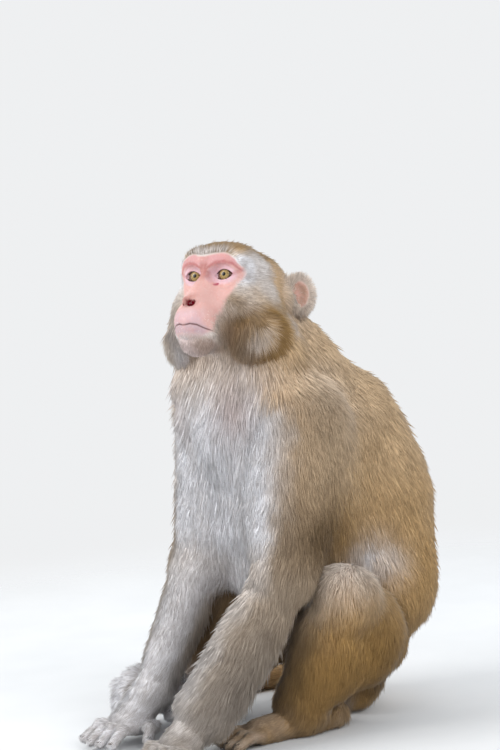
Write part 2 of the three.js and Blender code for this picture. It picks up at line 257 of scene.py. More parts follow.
def lid_gap(out, up):
    """Distance to the outline of the open eye. out runs from the nose outwards, up is upwards. The
    outline is where a disc through both corners and the top of the upper lid overlaps one through the
    corners and the bottom of the lower lid, tipped so that the inner corner is the lower."""
    up = up - 0.06 * out
    out = out - LID_SHIFT
    upper = (LID_HALF ** 2 + LID_RISE ** 2) / (2 * LID_RISE)
    lower = (LID_HALF ** 2 + LID_FALL ** 2) / (2 * LID_FALL)
    return np.maximum(np.hypot(out, up - LID_RISE + upper) - upper,
                      np.hypot(out, up + LID_FALL - lower) - lower)


REACH = 40.0  # a form further off than this doesn't count at a point
TOO_FAR = 300.0  # the distance noted for such a form


def distance(points):
    """Distance to all the forms, each melted into the ones before it: the smaller distance, less
    h^2 soft / 4 where h is 1 where the two are equal and 0 where they differ by soft or more."""
    d = np.full(len(points), 1000.0)
    for form in FORMS:
        near = np.flatnonzero(((points - form.middle) ** 2).sum(1) < (form.span + REACH) ** 2)
        sign = -1 if form.cut else 1
        one, rest = form.distance(points[near]), sign * d[near]
        h = np.clip(form.soft - np.abs(rest - one), 0, None) / form.soft
        d[near] = sign * (np.minimum(rest, one) - h * h * form.soft / 4)
    return d


CORNERS = np.array([[1, 1, 1], [1, -1, -1], [-1, 1, -1], [-1, -1, 1]], float)
CORNER_STEP = 0.4


def slope(points):
    """Outward unit normal of the flesh, from the distance at the four corners of a small solid."""
    return unit(sum(c * distance(points + CORNER_STEP * c)[:, None] for c in CORNERS))


def lay_from_face(points):
    """Hair on the head runs back from the middle of the face, and droops towards the neck."""
    q = in_head(points)
    away = unit(q - vec(0, -34, -8))
    droop = smooth(-10, -45, q[:, 2])[:, None] * vec(0, 0.25, -0.8)
    return (away + droop) @ HEAD_TURN.T


def lay_from_whorl(points):
    """Hair on the jowl spreads from a whorl on its outer side, and more of it runs back and down."""
    q = in_head(points)
    spread = unit(q - vec(0, 20, -50) - np.sign(q[:, :1]) * vec(50, 0, 0))
    return unit(0.8 * spread + vec(0, 0.35, -0.45) + 0.3 * noise_vector(points, 9, 91)) @ HEAD_TURN.T


def lay_from_ear(points):
    """Hair on the ear runs from its middle over the rim and back."""
    q = in_head(points)
    middle = PINNA_AT * np.stack([np.sign(q[:, 0]), np.ones(len(q)), np.ones(len(q))], -1)
    return unit(unit(q - middle) + vec(0, 0.5, 0.1)) @ HEAD_TURN.T


def trunk_forms():
    """Seat, belly, ribs, shoulders and chest, then a shoulder blade and a side of the ribs on each side."""
    down = (0, 0.1, -1)
    blade = turned(0, 16)
    forms = [
        Egg("trunk", (0, -10, 65), (55, 38, 58), soft=26, coat=11, lay=down),
        Egg("trunk", (0, 27, 132), (66, 73, 68), soft=40, coat=11, lay=down),
        Egg("trunk", (0, -62, 176), (48, 56, 82), soft=36, coat=11, lay=down),
        Egg("trunk", (0, 27, 212), (63, 76, 70), soft=40, coat=11, lay=down),
        Egg("trunk", (0, -8, 268), (60, 82, 76), turned(0, 34), soft=40, coat=12, lay=down),
        Cone("trunk", (0, -34, 308), 55, (0, -56, 352), 44, soft=40, coat=12, lay=vec(0, 0.3, -1)),
        Egg("trunk", (2, -112, 318), (42, 43, 50), turned(0, 20), soft=24, coat=14, lay=down),
        Egg("trunk", (0, -88, 252), (44, 44, 62), soft=36, coat=12, lay=down),
    ]
    for s in SIDES.values():
        forms.append(Egg("trunk", (s * 50, -86, 302), (34, 40, 54), blade, soft=30, coat=11,
                         lay=(s * 0.25, 0.25, -1)))
        forms.append(Egg("trunk", (s * 48, -84, 226), (30, 48, 80), soft=34, coat=10,
                         lay=(s * 0.1, -0.1, -1)))
    return forms


def neck_forms():
    """Nape, throat, and the fuller coat on both sides of it."""
    return [
        Cone("neck", (0, -56, 348), 42, (0, -82, 400), 38, soft=24, coat=12, lay=vec(0, 0.4, -1)),
        Cone("neck", (2, -108, 350), 30, (6, -118, 392), 30, soft=24, coat=14, lay=vec(0, 0, -1)),
        Egg("neck", (-23, -127, 366), (29, 31, 42), soft=24, coat=14, lay=vec(-0.2, 0, -1)),
        Egg("neck", (34, -108, 366), (26, 30, 40), soft=24, coat=13, lay=vec(0.2, 0, -1)),
    ]


def head_forms():
    """Flesh of the head: skull, brow, muzzle, lips, jaw, cheeks and lids, then all that is hollow."""
    def egg(centre, radii, turn=HEAD_TURN, **form):
        return Egg("head", on_head(*centre), radii, turn, lay=lay_from_face, **form)

    def cone(a, ra, b, rb, **form):
        return Cone("head", on_head(*a), ra, on_head(*b), rb, lay=lay_from_face, **form)

    def cord(path, radii, s, **form):
        return Cord("head", [on_head(s * x, y, z) for x, y, z in path], radii, lay=lay_from_face, **form)

    forms = [
        egg((0, 55, -2), (39, 48, 32), soft=16, coat=7),
        egg((0, 25, 9), (36, 30, 23), soft=12, coat=7),
        egg((0, 22, -8), (33, 26, 25), soft=14, coat=2),
        cone((0, 14, -27), 22, (0, -15, -40), 16.5, soft=14, coat=2),
        cone((-4.6, -22.3, -46.5), 13.8, (4.6, -22.3, -46.5), 13.8, soft=10, coat=2),
        cone((0, 26, -46), 18, (0, -6, -58), 15, soft=10, coat=3),
        cone((-4.5, -16, -60), 12.8, (4.5, -16, -60), 12.8, soft=8, coat=2),
        egg((0, -17.5, -68), (12, 11.5, 10), soft=8, coat=3),
        cone((0, 4.5, -1), 6, (0, -20, -22), 7.5, soft=12, coat=1),
        cone((0, -25, -25.5), 4.6, (0, -37.5, -29.6), 3.6, soft=5, coat=1),
    ]
    for s in SIDES.values():
        forms.append(egg((s * 27, 34, -30), (24, 32, 24), soft=16, coat=6))
        forms.append(egg((s * 24, 44, -50), (20, 26, 24), soft=14, coat=9))
        forms.append(Egg("head", on_head(s * 38, 33, -53), (16.5, 22, 18), HEAD_TURN, soft=11, coat=13,
                         lay=lay_from_whorl, group="ruff"))
        forms.append(cord(BROW, [6, 6.6, 6.5, 6.2, 5.4], s, soft=8, coat=2))
        forms.append(egg((s * 5.6, -27.5, -28.5), (3.4, 4.6, 3.8), soft=3, coat=1))
        forms.append(egg((s * HALF_EYES, -6.4, -0.5), (12.5, 9, 8.4), soft=5, coat=1, cut=True))
        forms.append(egg((s * HALF_EYES, EYE_DEPTH, 0), vec(1, 1, 1) * (EYE_RADIUS + 1.4), soft=3, coat=1))
    for s in SIDES.values():
        for back, up, radii, soft in UPPER_LIP, LOWER_LIP:
            path = [(x, y + back, z + up) for x, y, z in MOUTH[:4]]
            forms.append(cord(path, radii, s, soft=soft, coat=1))
    for centre, radii in NOSTRILS:
        forms.append(egg(centre, radii, HEAD_TURN @ turned(-25 * np.sign(centre[0]), 20),
                         soft=1, coat=0, cut=True, group="nostril"))
    return forms + [LidOpening(side) for side in SIDES]


BROW = [(0, 3, 13), (9, 1.8, 15.4), (19, 3.3, 16.2), (27.5, 7.6, 13), (33, 14.6, 6)]
MOUTH = [(0, -39.5, -53), (6, -38, -51.8), (12, -33, -52.6), (17, -26, -55.2), (21, -19, -57.6)]
UPPER_LIP = (5.4, 3.6, [3, 3, 2.8, 2], 6)  # back and up from the mouth's line, radii, softness
LOWER_LIP = (6.6, -4.6, [3.8, 3.7, 3, 2], 7)
NOSTRILS = [((3.9, -32.6, -30.8), (2.6, 5.0, 2.8)), ((-5.0, -30.4, -31), (1.9, 4.0, 2.2))]


def ear_forms():
    """A thin leaf on a short root, a rolled rim round its edge, the hollow in front and its ridges."""
    forms = []
    for side, s in SIDES.items():
        leaf = HEAD_TURN @ turned(-s * PINNA_TURN)
        at = PINNA_AT * vec(s, 1, 1)
        part = f"ear_{side}"

        def on_leaf(out, back, up):
            return on_head(*at) + leaf @ vec(s * out, back, up)

        def rim(first, last, back, up, out, thick):
            path = [on_leaf(out, back * math.sin(a), up * math.cos(a))
                    for a in np.radians(np.linspace(first, last, 14))]
            return Cord(part, path, [thick] * 14, soft=2.0, coat=2, lay=lay_from_ear)

        forms.append(Cone(part, on_head(s * 28, 66, -13), 14, on_head(s * 44, 71, -12), 8.5,
                          soft=6, coat=3))
        forms.append(Egg(part, on_leaf(0, 0, 0), (2.4, 12, 16.5), leaf, soft=5, coat=2, lay=lay_from_ear))
        forms.append(Egg(part, on_leaf(4.3, -2.5, -1), (4, 8, 12), leaf, soft=2.5, coat=0, cut=True))
        forms.append(rim(-50, 155, 11.4, 15.8, 1.2, 1.8))
        forms.append(rim(5, 120, 7.6, 10.6, 1.0, 1.1))
        forms.append(Egg(part, on_leaf(3.2, -9, -5), (2.8, 3, 4.2), leaf, soft=2.5, coat=1))
        forms.append(Egg(part, on_leaf(2.6, -4.8, -12.8), (2.5, 3.2, 3.4), leaf, soft=2.5, coat=1))
        forms.append(Egg(part, on_leaf(3.5, -6.4, -5), (7, 2.5, 3.6), leaf, soft=1.5, coat=0, cut=True))
    return forms


def digit_forms(part, root, heading, size, droop):
    """A finger or toe: two tapered lengths, bent at the middle, with a knuckle at each joint."""
    length, thick, tip_thick = size
    turn = turned(heading)
    mid = vec(*root) + turn @ vec(0, -length * 0.5, 1.5)
    tip = vec(*root) + turn @ vec(0, -length, -droop)
    return [
        Cone(part, root, thick, mid, thick * 0.84, soft=3.5, coat=2.5),
        Cone(part, mid, thick * 0.84, tip, tip_thick, soft=2.5, coat=1.5),
    ], (tip, turn, tip_thick)


FINGER, THUMB = (36, 4.6, 3.5), (23, 5.0, 3.9)
TOES = {"left": (32, 4.9, 3.9), "right": (17, 5.4, 4.6)}
BIG_TOE = (34, 6.4, 5)


def arm_forms(side):
    """Two lengths of arm, a flat palm, four fingers and a thumb. With the fingers' tips."""
    s = SIDES[side]
    arm = ARMS[side]
    shoulder, elbow, wrist, knuckles = (vec(*arm[k]) for k in ("shoulder", "elbow", "wrist", "knuckles"))
    forms = [
        Cone(f"upper_arm_{side}", shoulder, arm["upper"][0], elbow, arm["upper"][1], soft=32, coat=9),
        Cone(f"forearm_{side}", elbow, arm["fore"][0], wrist, arm["fore"][1], soft=14, coat=arm["coat"]),
        Cone(f"hand_{side}", wrist, 14, knuckles, 16, soft=10, coat=7, thin=((0, 0.3, 1), 0.66)),
    ]
    tips = []
    for i in range(4):
        across = i - 1.5
        root = knuckles + vec(across * DIGIT_SPREAD, -8 + across ** 2, -4)
        flesh, tip = digit_forms(f"hand_{side}", root, across * 10, FINGER, 9)
        forms += flesh
        tips.append(tip)
    flesh, tip = digit_forms(f"hand_{side}", knuckles + vec(-s * 20, 12, -5), -s * 42, THUMB, 8)
    return forms + flesh, tips + [tip]


def leg_forms(side):
    """Thigh and shank with their bellies, a flat sole, four toes and a big toe. With the toes' tips."""
    s = SIDES[side]
    hip, knee, ankle, heel, ball = (vec(*LEGS[side][k]) for k in ("hip", "knee", "ankle", "heel", "ball"))
    thigh_lay, shank_lay = vec(s * 0.1, -0.45, -0.85), vec(s * 0.05, -0.12, -1)
    forms = [
        Cone(f"thigh_{side}", hip, 35, knee, 24, soft=7, coat=9, lay=thigh_lay),
        Egg(f"thigh_{side}", (s * 72, -48, 92), (32, 44, 44), soft=14, coat=9, lay=thigh_lay),
        Cone(f"shank_{side}", knee, 22, ankle, 22, soft=12, coat=10, lay=shank_lay),
        Egg(f"shank_{side}", (knee + ankle) / 2 + vec(-2 * s, 10, 0), (28, 30, 44), soft=14, coat=10,
            lay=shank_lay),
        Cone(f"foot_{side}", heel, 16, ball, 14.5, soft=9, coat=LEGS[side]["coat"], thin=((0, 0, 1), 0.8)),
    ]
    heading = math.degrees(math.atan2(ball[0] - heel[0], heel[1] - ball[1]))
    turn = turned(heading)
    tips = []
    for i in range(4):
        across = i - 1.5
        root = ball + turn @ vec(across * DIGIT_SPREAD, across ** 2 - 8, 0)
        flesh, tip = digit_forms(f"foot_{side}", root, heading + across * 7, TOES[side],
                                 ball[2] * 0.7 - 3)
        forms += flesh
        tips.append(tip)
    root = ball + turn @ vec(-s * 14, 44, 0)
    flesh, tip = digit_forms(f"foot_{side}", root, heading - s * 32, BIG_TOE, ball[2] * 0.7 - 5)
    return forms + flesh, tips + [tip]


def tail_forms():
    """Cones end to end round the right side."""
    names = ["tail_root", "tail_root", "tail_middle", "tail_middle", "tail_tip"]
    return [Cone(name, a, ra, b, rb, soft=8, coat=7)
            for name, a, ra, b, rb in zip(names, TAIL, TAIL_RADIUS, TAIL[1:], TAIL_RADIUS[1:])]


def all_forms():
    """Every form, with what is hollow last, and the tips of all digits."""
    forms, tips = trunk_forms() + neck_forms(), []
    for side in SIDES:
        for make in (arm_forms, leg_forms):
            flesh, ends = make(side)
            forms += flesh
            tips += ends
    return forms + tail_forms() + ear_forms() + head_forms(), tips


FORMS, DIGIT_TIPS = all_forms()


# ---------------------------------------------------------------- meshes

def put_mesh(name, verts, faces, material=None):
    """A new object from points in millimetres. It sits at the origin with its place in its mesh."""
    mesh = bpy.data.meshes.new(name)
    verts = np.asarray(verts, np.float32) * MM
    faces = np.asarray(faces, np.int32)
    mesh.vertices.add(len(verts))
    mesh.vertices.foreach_set("co", verts.ravel())
    mesh.loops.add(faces.size)
    mesh.loops.foreach_set("vertex_index", faces.ravel())
    mesh.polygons.add(len(faces))
    mesh.polygons.foreach_set("loop_start", np.arange(0, faces.size, faces.shape[1], dtype=np.int32))
    mesh.update(calc_edges=True)
    mesh.polygons.foreach_set("use_smooth", np.ones(len(faces), bool))
    mesh.validate()
    obj = bpy.data.objects.new(name, mesh)
    bpy.context.scene.collection.objects.link(obj)
    if material is not None:
        mesh.materials.append(material)
    return obj


def grid_faces(rows, cols, start=0):
    """Quads of a grid of points whose columns close on themselves."""
    j, i = np.meshgrid(np.arange(rows - 1), np.arange(cols), indexing="ij")
    a, b = j * cols + i, j * cols + (i + 1) % cols
    return start + np.stack([a, b, b + cols, a + cols], -1).reshape(-1, 4)


def points_of(mesh):
    """The mesh's points, in millimetres."""
    co = np.empty(len(mesh.vertices) * 3, np.float32)
    mesh.vertices.foreach_get("co", co)
    return co.reshape(-1, 3).astype(float) / MM


def set_points(mesh, points):
    """Points in millimetres put back into the mesh."""
    mesh.vertices.foreach_set("co", (points * MM).astype(np.float32).ravel())
    mesh.update()


def edges_of(mesh):
    """The two points of each edge."""
    e = np.empty(len(mesh.edges) * 2, np.int32)
    mesh.edges.foreach_get("vertices", e)
    return e.reshape(-1, 2)


def relaxed(points, edges, times):
    """Each point moved halfway to the mean of its neighbours, so many times."""
    count = np.bincount(edges.ravel(), minlength=len(points))[:, None].clip(1)
    for _ in range(times):
        total = np.stack([np.bincount(edges[:, 0], points[edges[:, 1], k], len(points))
                          + np.bincount(edges[:, 1], points[edges[:, 0], k], len(points))
                          for k in range(3)], -1)
        points = points + 0.5 * (total / count - points)
    return points


def finished(obj):
    """The object's mesh with its modifiers applied."""
    bpy.context.view_layer.update()
    result = bpy.data.meshes.new_from_object(obj.evaluated_get(bpy.context.evaluated_depsgraph_get()))
    obj.modifiers.clear()
    obj.data = result
    return obj


def add_attribute(mesh, name, values, kind="FLOAT"):
    """Values at the mesh's points, which a material can read by name."""
    layer = mesh.attributes.new(name, kind, "POINT")
    key = "vector" if kind == "FLOAT_VECTOR" else "value"
    layer.data.foreach_set(key, np.asarray(values, np.float32).ravel())


# ---------------------------------------------------------------- smooth randomness

FAR_CELL = 4096  # added to cells, so that they are never negative


def lattice(cell, seed):
    """A number from -1 to 1 for each whole-numbered cell, always the same for the same cell and seed: its
    bits are mixed by large odd numbers."""
    mixed = (cell * np.array([73856093, 19349663, 83492791])).sum(1) ^ (seed * 668265263)
    mixed = ((mixed ^ (mixed >> 13)) * 1274126177) & 0x7FFFFFFF
    mixed = ((mixed ^ (mixed >> 15)) * 2246822519) & 0x7FFFFFFF
    return (mixed >> 8) % 65536 / 32768 - 1


def noise(points, size, seed):
    """Numbers from -1 to 1 that change smoothly over the size: each corner of a cell of that size holds
    a number, and an S curve blends the eight corners."""
    q = points / size + FAR_CELL
    cell = np.floor(q).astype(np.int64)
    t = q - cell
    t = t * t * (3 - 2 * t)
    total = np.zeros(len(points))
    for corner in np.ndindex(2, 2, 2):
        step = np.array(corner)
        total += np.prod(np.where(step, t, 1 - t), axis=1) * lattice(cell + step, seed)
    return total


def noise_vector(points, size, seed):
    """Three noises with seeds of their own."""
    return np.stack([noise(points, size, seed + k) for k in range(3)], -1)


def lock_centres(points, size, seed):
    """The middle of the lock of hair that each root belongs to: the nearest of one stray point for each
    cell of the size."""
    cell = np.floor(points / size).astype(np.int64)
    best = np.full(len(points), np.inf)
    found = np.zeros_like(points)
    for step in np.ndindex(3, 3, 3):
        other = cell + np.array(step) - 1
        stray = np.stack([lattice(other + FAR_CELL, seed + k) for k in range(3)], -1)
        centre = (other + 0.5 + 0.45 * stray) * size
        gap = ((centre - points) ** 2).sum(1)
        nearer = gap < best
        best[nearer] = gap[nearer]
        found[nearer] = centre[nearer]
    return found


# ---------------------------------------------------------------- the skin

THIN_START = 1.6  # the thin leaf of the ear starts this much too thick, and slides in to its own size
SLIDE = 3  # the furthest a point moves in one round
SKIN_CELL = 3.7  # size of a quad on the body: halved on digits, face and ears, and again on the face


def shells(forms):
    """The closed grids of all the forms, one after another."""
    verts, faces, start = [], [], 0
    for form in [one for form in forms for one in getattr(form, "cones", [form])]:
        shell = form.shell(THIN_START if form.part.startswith("ear") else 0.0)
        rows, cols = shell.shape[:2]
        verts.append(shell.reshape(-1, 3))
        faces.append(grid_faces(rows, cols, start))
        start += rows * cols
    return np.concatenate(verts), np.concatenate(faces)


def corners_of(mesh):
    """For each face the mean of its corners."""
    points = points_of(mesh)
    loops = np.empty(len(mesh.loops), np.int32)
    mesh.loops.foreach_get("vertex_index", loops)
    sizes = np.empty(len(mesh.polygons), np.int32)
    mesh.polygons.foreach_get("loop_total", sizes)
    owner = np.repeat(np.arange(len(sizes)), sizes)
    total = np.stack([np.bincount(owner, points[loops, k], len(sizes)) for k in range(3)], -1)
    return total / sizes[:, None]


def refine(mesh, picked):
    """Every picked face is cut in four, and the faces beside it are cut to match."""
    bm = bmesh.new()
    bm.from_mesh(mesh)
    bm.faces.ensure_lookup_table()
    edges = {edge for i in np.flatnonzero(picked) for edge in bm.faces[i].edges}
    bmesh.ops.subdivide_edges(bm, edges=sorted(edges, key=lambda e: e.index), cuts=1, use_grid_fill=True)
    bmesh.ops.triangulate(bm, faces=[f for f in bm.faces if len(f.verts) > 4])
    bm.to_mesh(mesh)
    bm.free()
    mesh.update()


def slide(mesh, rounds, even, picked=None):
    """Vertices slide onto the flesh along its slope, and even out between rounds."""
    points, edges = points_of(mesh), edges_of(mesh)
    chosen = np.arange(len(points)) if picked is None else np.flatnonzero(picked(points))
    for r in range(rounds):
        if even and r < rounds - 1:
            points[chosen] = relaxed(points, edges, even)[chosen]
        some = points[chosen]
        points[chosen] = some - np.clip(distance(some), -SLIDE, SLIDE)[:, None] * slope(some)
    set_points(mesh, points)


def on_face(points, margin=0.0):
    """Points on the front of the head and on the ears, where quads are halved once."""
    q = in_head(points)
    front = (np.abs(q[:, 0]) < 40 + margin) & (q[:, 1] < 24 + margin) & (q[:, 2] < 26 + margin)
    front &= q[:, 2] > -80 - margin
    ear = np.linalg.norm(folded(q) - PINNA_AT, axis=1) < 26 + margin
    return front | ear


def on_bare_face(points, margin=0.0):
    """Points on the bare face and the ears' leaves, where quads are halved a second time."""
    q = in_head(points)
    front = (np.abs(q[:, 0]) < 36 + margin) & (q[:, 1] < 14 + margin)
    front &= (q[:, 2] < 21 + margin) & (q[:, 2] > -66 - margin)
    ear = np.linalg.norm(folded(q) - PINNA_AT, axis=1) < 24 + margin
    return front | ear & (np.abs(q[:, 0]) > 42 - margin)


def on_digits(points, margin=0.0):
    """Points on the last length of a finger or toe."""
    near = np.zeros(len(points), bool)
    for tip, turn, _ in DIGIT_TIPS:
        near |= ((points - tip - turn @ vec(0, 12, 0)) ** 2).sum(1) < (17 + margin) ** 2
    return near


def on_lids_or_lips(points, margin=0.0):
    """Points round the eyes, the mouth and the nose, where quads are halved a third time."""
    q = in_head(points)
    side = np.abs(q[:, 0])
    eye = (np.hypot(side - HALF_EYES, q[:, 2]) < 11.5 + margin) & (q[:, 1] < 9)
    mouth = (np.abs(q[:, 2] + 52 + 0.014 * side ** 2) < 4.5 + margin) & (side < 25) & (q[:, 1] < -12)
    nose = (side < 11 + margin) & (q[:, 2] > -37) & (q[:, 2] < -23) & (q[:, 1] < -22)
    return eye | mouth | nose


def valley(q, path, width, depth):
    """A groove on both sides of the face: depth times exp of minus the square of the distance to the path
    over the width, which fades to nothing at both ends of the path. The path gives how far to the side and
    up it runs, and may give a third number, how far back, of which a third counts."""
    path = np.array(path, float) * vec(1, 1, 0.33)[:len(path[0])]
    at = np.stack([np.abs(q[:, 0]), q[:, 2], 0.33 * q[:, 1]], -1)[:, :path.shape[1]]
    nearest, along = np.full(len(q), np.inf), np.zeros(len(q))
    for k, (a, b) in enumerate(zip(path, path[1:])):
        t = np.clip((at - a) @ (b - a) / ((b - a) @ (b - a)), 0, 1)
        gap = np.linalg.norm(at - a - t[:, None] * (b - a), axis=1)
        closer = gap < nearest
        nearest[closer] = gap[closer]
        along[closer] = (k + t[closer]) / (len(path) - 1)
    fade = np.clip(4 * along * (1 - along), 0, 1) ** 0.5
    return depth * fade * np.exp(-((nearest / width) ** 2)) * (q[:, 1] < 16)


FOLDS = [  # path in the plane of the face, width, depth
    ([(-3, -53, -37), (2, -52.8, -37), (6, -51.8, -36), (12, -52.6, -31.5), (17, -55.4, -24),
      (21, -57.4, -18), (24, -60, -12)], 0.8, 1.8),  # mouth
    ([(9, -6), (14, -10), (22, -10.5), (29, -6)], 1.3, 0.55),  # under the lower lid
    ([(10, -10), (16, -14.5), (24, -14), (31, -8)], 1.5, 0.4),  # bag under the eye
    ([(9, 6.5), (14, 9.2), (22, 9.4), (28, 5)], 1.0, 0.5),  # fold over the upper lid
    ([(3.2, 14), (2.6, 8), (3.4, 2)], 1.0, 0.5),  # furrow between the brows
    ([(0, 5.5), (4, 5.6), (7, 7)], 0.8, 0.4),  # across the root of the nose
    ([(0, 2.2), (4, 2), (7, 3)], 0.8, 0.35),
    ([(7.5, -27), (9.5, -31), (9, -35)], 1.3, 0.7),  # behind the wing of the nose
    ([(10, -22), (17, -33), (23, -47), (24, -56)], 2.6, 0.8),  # cheek to the corner of the mouth
    ([(0, -34), (0.1, -43)], 1.2, 0.35),  # groove from nose to lip
    ([(0, -66), (8, -65.5), (14, -63)], 2.0, 0.6),  # under the lower lip
    ([(30, 3), (35, 4)], 0.9, 0.4),  # at the outer corner of the eye
    ([(29.5, -2), (35, -5)], 0.9, 0.4),
]


def make_skin():
    """One closed skin: the forms' shells made one by voxels, then slid onto the softly joined flesh."""
    verts, faces = shells([form for form in FORMS if not form.cut])
    obj = put_mesh("skin", verts, faces)
    remesh = obj.modifiers.new("one_skin", "REMESH")
    remesh.mode = "VOXEL"
    remesh.voxel_size = SKIN_CELL * MM
    finished(obj)
    mesh = obj.data
    slide(mesh, 6, 2)
    refine(mesh, on_face(corners_of(mesh)) | on_digits(corners_of(mesh)))
    slide(mesh, 3, 1, lambda p: on_face(p, 5) | on_digits(p, 5))
    refine(mesh, on_bare_face(corners_of(mesh)))
    slide(mesh, 3, 1, lambda p: on_bare_face(p, 3))
    refine(mesh, on_lids_or_lips(corners_of(mesh)))
    slide(mesh, 4, 1, lambda p: on_lids_or_lips(p, 2))
    slide(mesh, 2, 0)
    points = points_of(mesh)
    face = np.flatnonzero(on_face(points))
    q = in_head(points[face])
    sunk = sum(valley(q, *fold) for fold in FOLDS)
    points[face] -= sunk[:, None] * slope(points[face])
    points[:, 2] = np.maximum(points[:, 2], FLOOR)
    set_points(mesh, points)
    mesh.polygons.foreach_set("use_smooth", np.ones(len(mesh.polygons), bool))
    return obj


# ---------------------------------------------------------------- markings

SPREAD = 6.0  # how far one part of the head runs into the next
BODY_SPREAD = 2.4 * SPREAD


def weights_of_forms(points):
    """How much each form counts at a point: exp of minus its distance over the spread. With the forms, and
    their distances."""
    forms = [form for form in FORMS if not form.cut]
    gaps = np.full((len(forms), len(points)), TOO_FAR, np.float32)
    for k, form in enumerate(forms):
        near = np.flatnonzero(((points - form.middle) ** 2).sum(1) < (form.span + REACH) ** 2)
        gaps[k, near] = form.distance(points[near])
    wide = np.array([form.group in ("torso", "arm", "leg") for form in forms])[gaps.argmin(0)]
    weight = np.exp(-(gaps - gaps.min(0)) / np.where(wide, BODY_SPREAD, SPREAD))
    return forms, weight / weight.sum(0), gaps


def spot(q, centre, radii):
    """1 well inside an ellipsoid, 0 from a third outside it. It counts on both sides of the head."""
    return smooth(1.35, 0.65, np.linalg.norm((folded(q) - vec(*centre)) / vec(*radii), axis=1))


# lines on the face, each as two rows: the bare skin's edge towards the back and at the side by height,
# its top, the brow's ridge and the mouth by how far to the side
BARE_BACK = [-60, -46, -34, -22, -10], [-21, -12, -4, 10, 29]
BARE_SIDE = [-80, -66, -56, -46, -34, -22, -10, 0, 8, 20], [2, 12, 22.5, 22.5, 21.5, 25, 31, 36.5, 37, 33]
BARE_TOP = [0, 8, 18, 25, 30, 35], [18.5, 19.5, 21, 19.5, 15.5, 8]
BROW_LINE = [0, 6, 12, 20, 28, 34], [6, 8, 11.5, 13, 11, 5]
MOUTH_LINE = [0, 2, 6, 12, 17, 21, 24], [-53, -52.8, -51.8, -52.6, -55.4, -57.4, -60]


def face_regions(q):
    """Where the face is bare, and its zones, in the head's own frame. Each is 1 inside, 0 outside."""
    side, up = np.abs(q[:, 0]), q[:, 2]
    wobble = 1.2 * noise(q, 7, 31)
    ahead = smooth(30, 14, q[:, 1]) * smooth(8, -6, q[:, 1] - np.interp(up, *BARE_BACK))
    top = np.interp(side, *BARE_TOP) + wobble
    rim = np.interp(up, *BARE_SIDE) + wobble
    bare = smooth(top + 1.5, top - 1.5, up) * smooth(rim + 3, rim - 3, side) * ahead * smooth(-67, -58, up)
    lid = np.hypot((side - HALF_EYES) / 13.5, (up - 0.5) / 9.5)
    mouth = np.interp(side, *MOUTH_LINE)
    around_mouth = smooth(13, 7, np.abs(up - mouth - 3)) * smooth(19, 13, side) * ahead
    tear = np.linalg.norm((q - vec(12.6, -6, -9)) / vec(2.2, 6, 2.1), axis=1)
    return {
        "bare": bare,
        "orbit": np.maximum(smooth(1.2, 0.8, lid) * ahead, 0.55 * around_mouth),
        "brow": smooth(7, 11, up) * bare,
        "flush": bare * np.maximum.reduce([
            0.8 * smooth(2.7, 0.3, np.abs(up - np.interp(side, *BROW_LINE))),
            0.9 * smooth(6.5, 2, side) * smooth(-8, 2, up) * smooth(13, 9, up),
            0.5 * smooth(3, 0.5, np.abs(up - 1 - 0.5 * (side - 28))) * smooth(25, 28, side)]),
        "tear": smooth(1.2, 0.7, tear),
        "nose": np.maximum(0.7 * smooth(9, 5, side) * smooth(-18, -26, up) * smooth(-37, -33, up),
                           0.4 * smooth(7, 3, side) * smooth(-25, 0, up)) * ahead,
        "lips": np.maximum(smooth(8, 3, np.abs(up - mouth + 3)) * smooth(22, 16, side),
                           0.5 * smooth(-32, -40, up) * smooth(20, 12, side)) * ahead,
        "line": (0.9 * smooth(1.25, 0.3, np.abs(up - mouth)) * smooth(23, 21, side)
                 * smooth(-9, -14, q[:, 1])),
    }


def inside_ear(points, normals):
    """1 on the bare hollow side of the ear's leaf, 0 on its rim and its furry back."""
    inside = np.zeros(len(points))
    for s in SIDES.values():
        leaf = HEAD_TURN @ turned(-s * PINNA_TURN)
        q = (points - on_head(*(PINNA_AT * vec(s, 1, 1)))) @ leaf
        reach = np.linalg.norm(q / vec(9, 11, 15), axis=1)
        inside = np.maximum(inside, smooth(1.0, 0.8, reach) * smooth(0, 0.4, (normals @ leaf)[:, 0] * s))
    return inside


CREASE_SHADE = {  # painted shade: how dark the coat of the first group grows where it meets the second
    ("leg", "torso"): 1.0, ("torso", "leg"): 0.9, ("leg", "arm"): 0.6, ("arm", "leg"): 0.6,
    ("ruff", "head"): 0.3, ("head", "ruff"): 0.5, ("ruff", "torso"): 0.1, ("torso", "ruff"): 0.15,
    ("arm", "torso"): 0.1, ("torso", "arm"): 0.15, ("tail", "torso"): 0.6, ("tail", "leg"): 0.6,
}


def crease_shade(forms, gaps):
    """Painted shade in the creases between two groups of forms: 1 in the deepest, where both surfaces are
    within a millimetre, and 0 from eleven millimetres away."""
    names = sorted({form.group for form in forms})
    by_group = np.stack([gaps[[form.group == name for form in forms]].min(0) for name in names])
    own = by_group.argmin(0)
    found = np.zeros(len(own))
    for (first, second), strength in CREASE_SHADE.items():
        near = smooth(24, 3, by_group[names.index(second)]) * (own == names.index(first))
        found = np.maximum(found, strength * near)
    return found


def haze(q, centre, radii):
    """A soft cloud: exp of minus the square of the distance over the radii. It counts on both sides."""
    return np.exp(-(((folded(q) - vec(*centre)) / vec(*radii)) ** 2).sum(1))


GOLD_LEG = [30, 70, 100, 130, 190], [1, 1, 0.95, 0.75, 0]  # how golden a leg is by height
PALE_ARM = [30, 120, 185, 215], [0.45, 0.32, 0.35, 1.0]  # how pale the inside of an arm is by height
HAIRLINE = [0, 18, 30], [19, 20.5, 14]  # the hair's edge over the brow by how far to the side


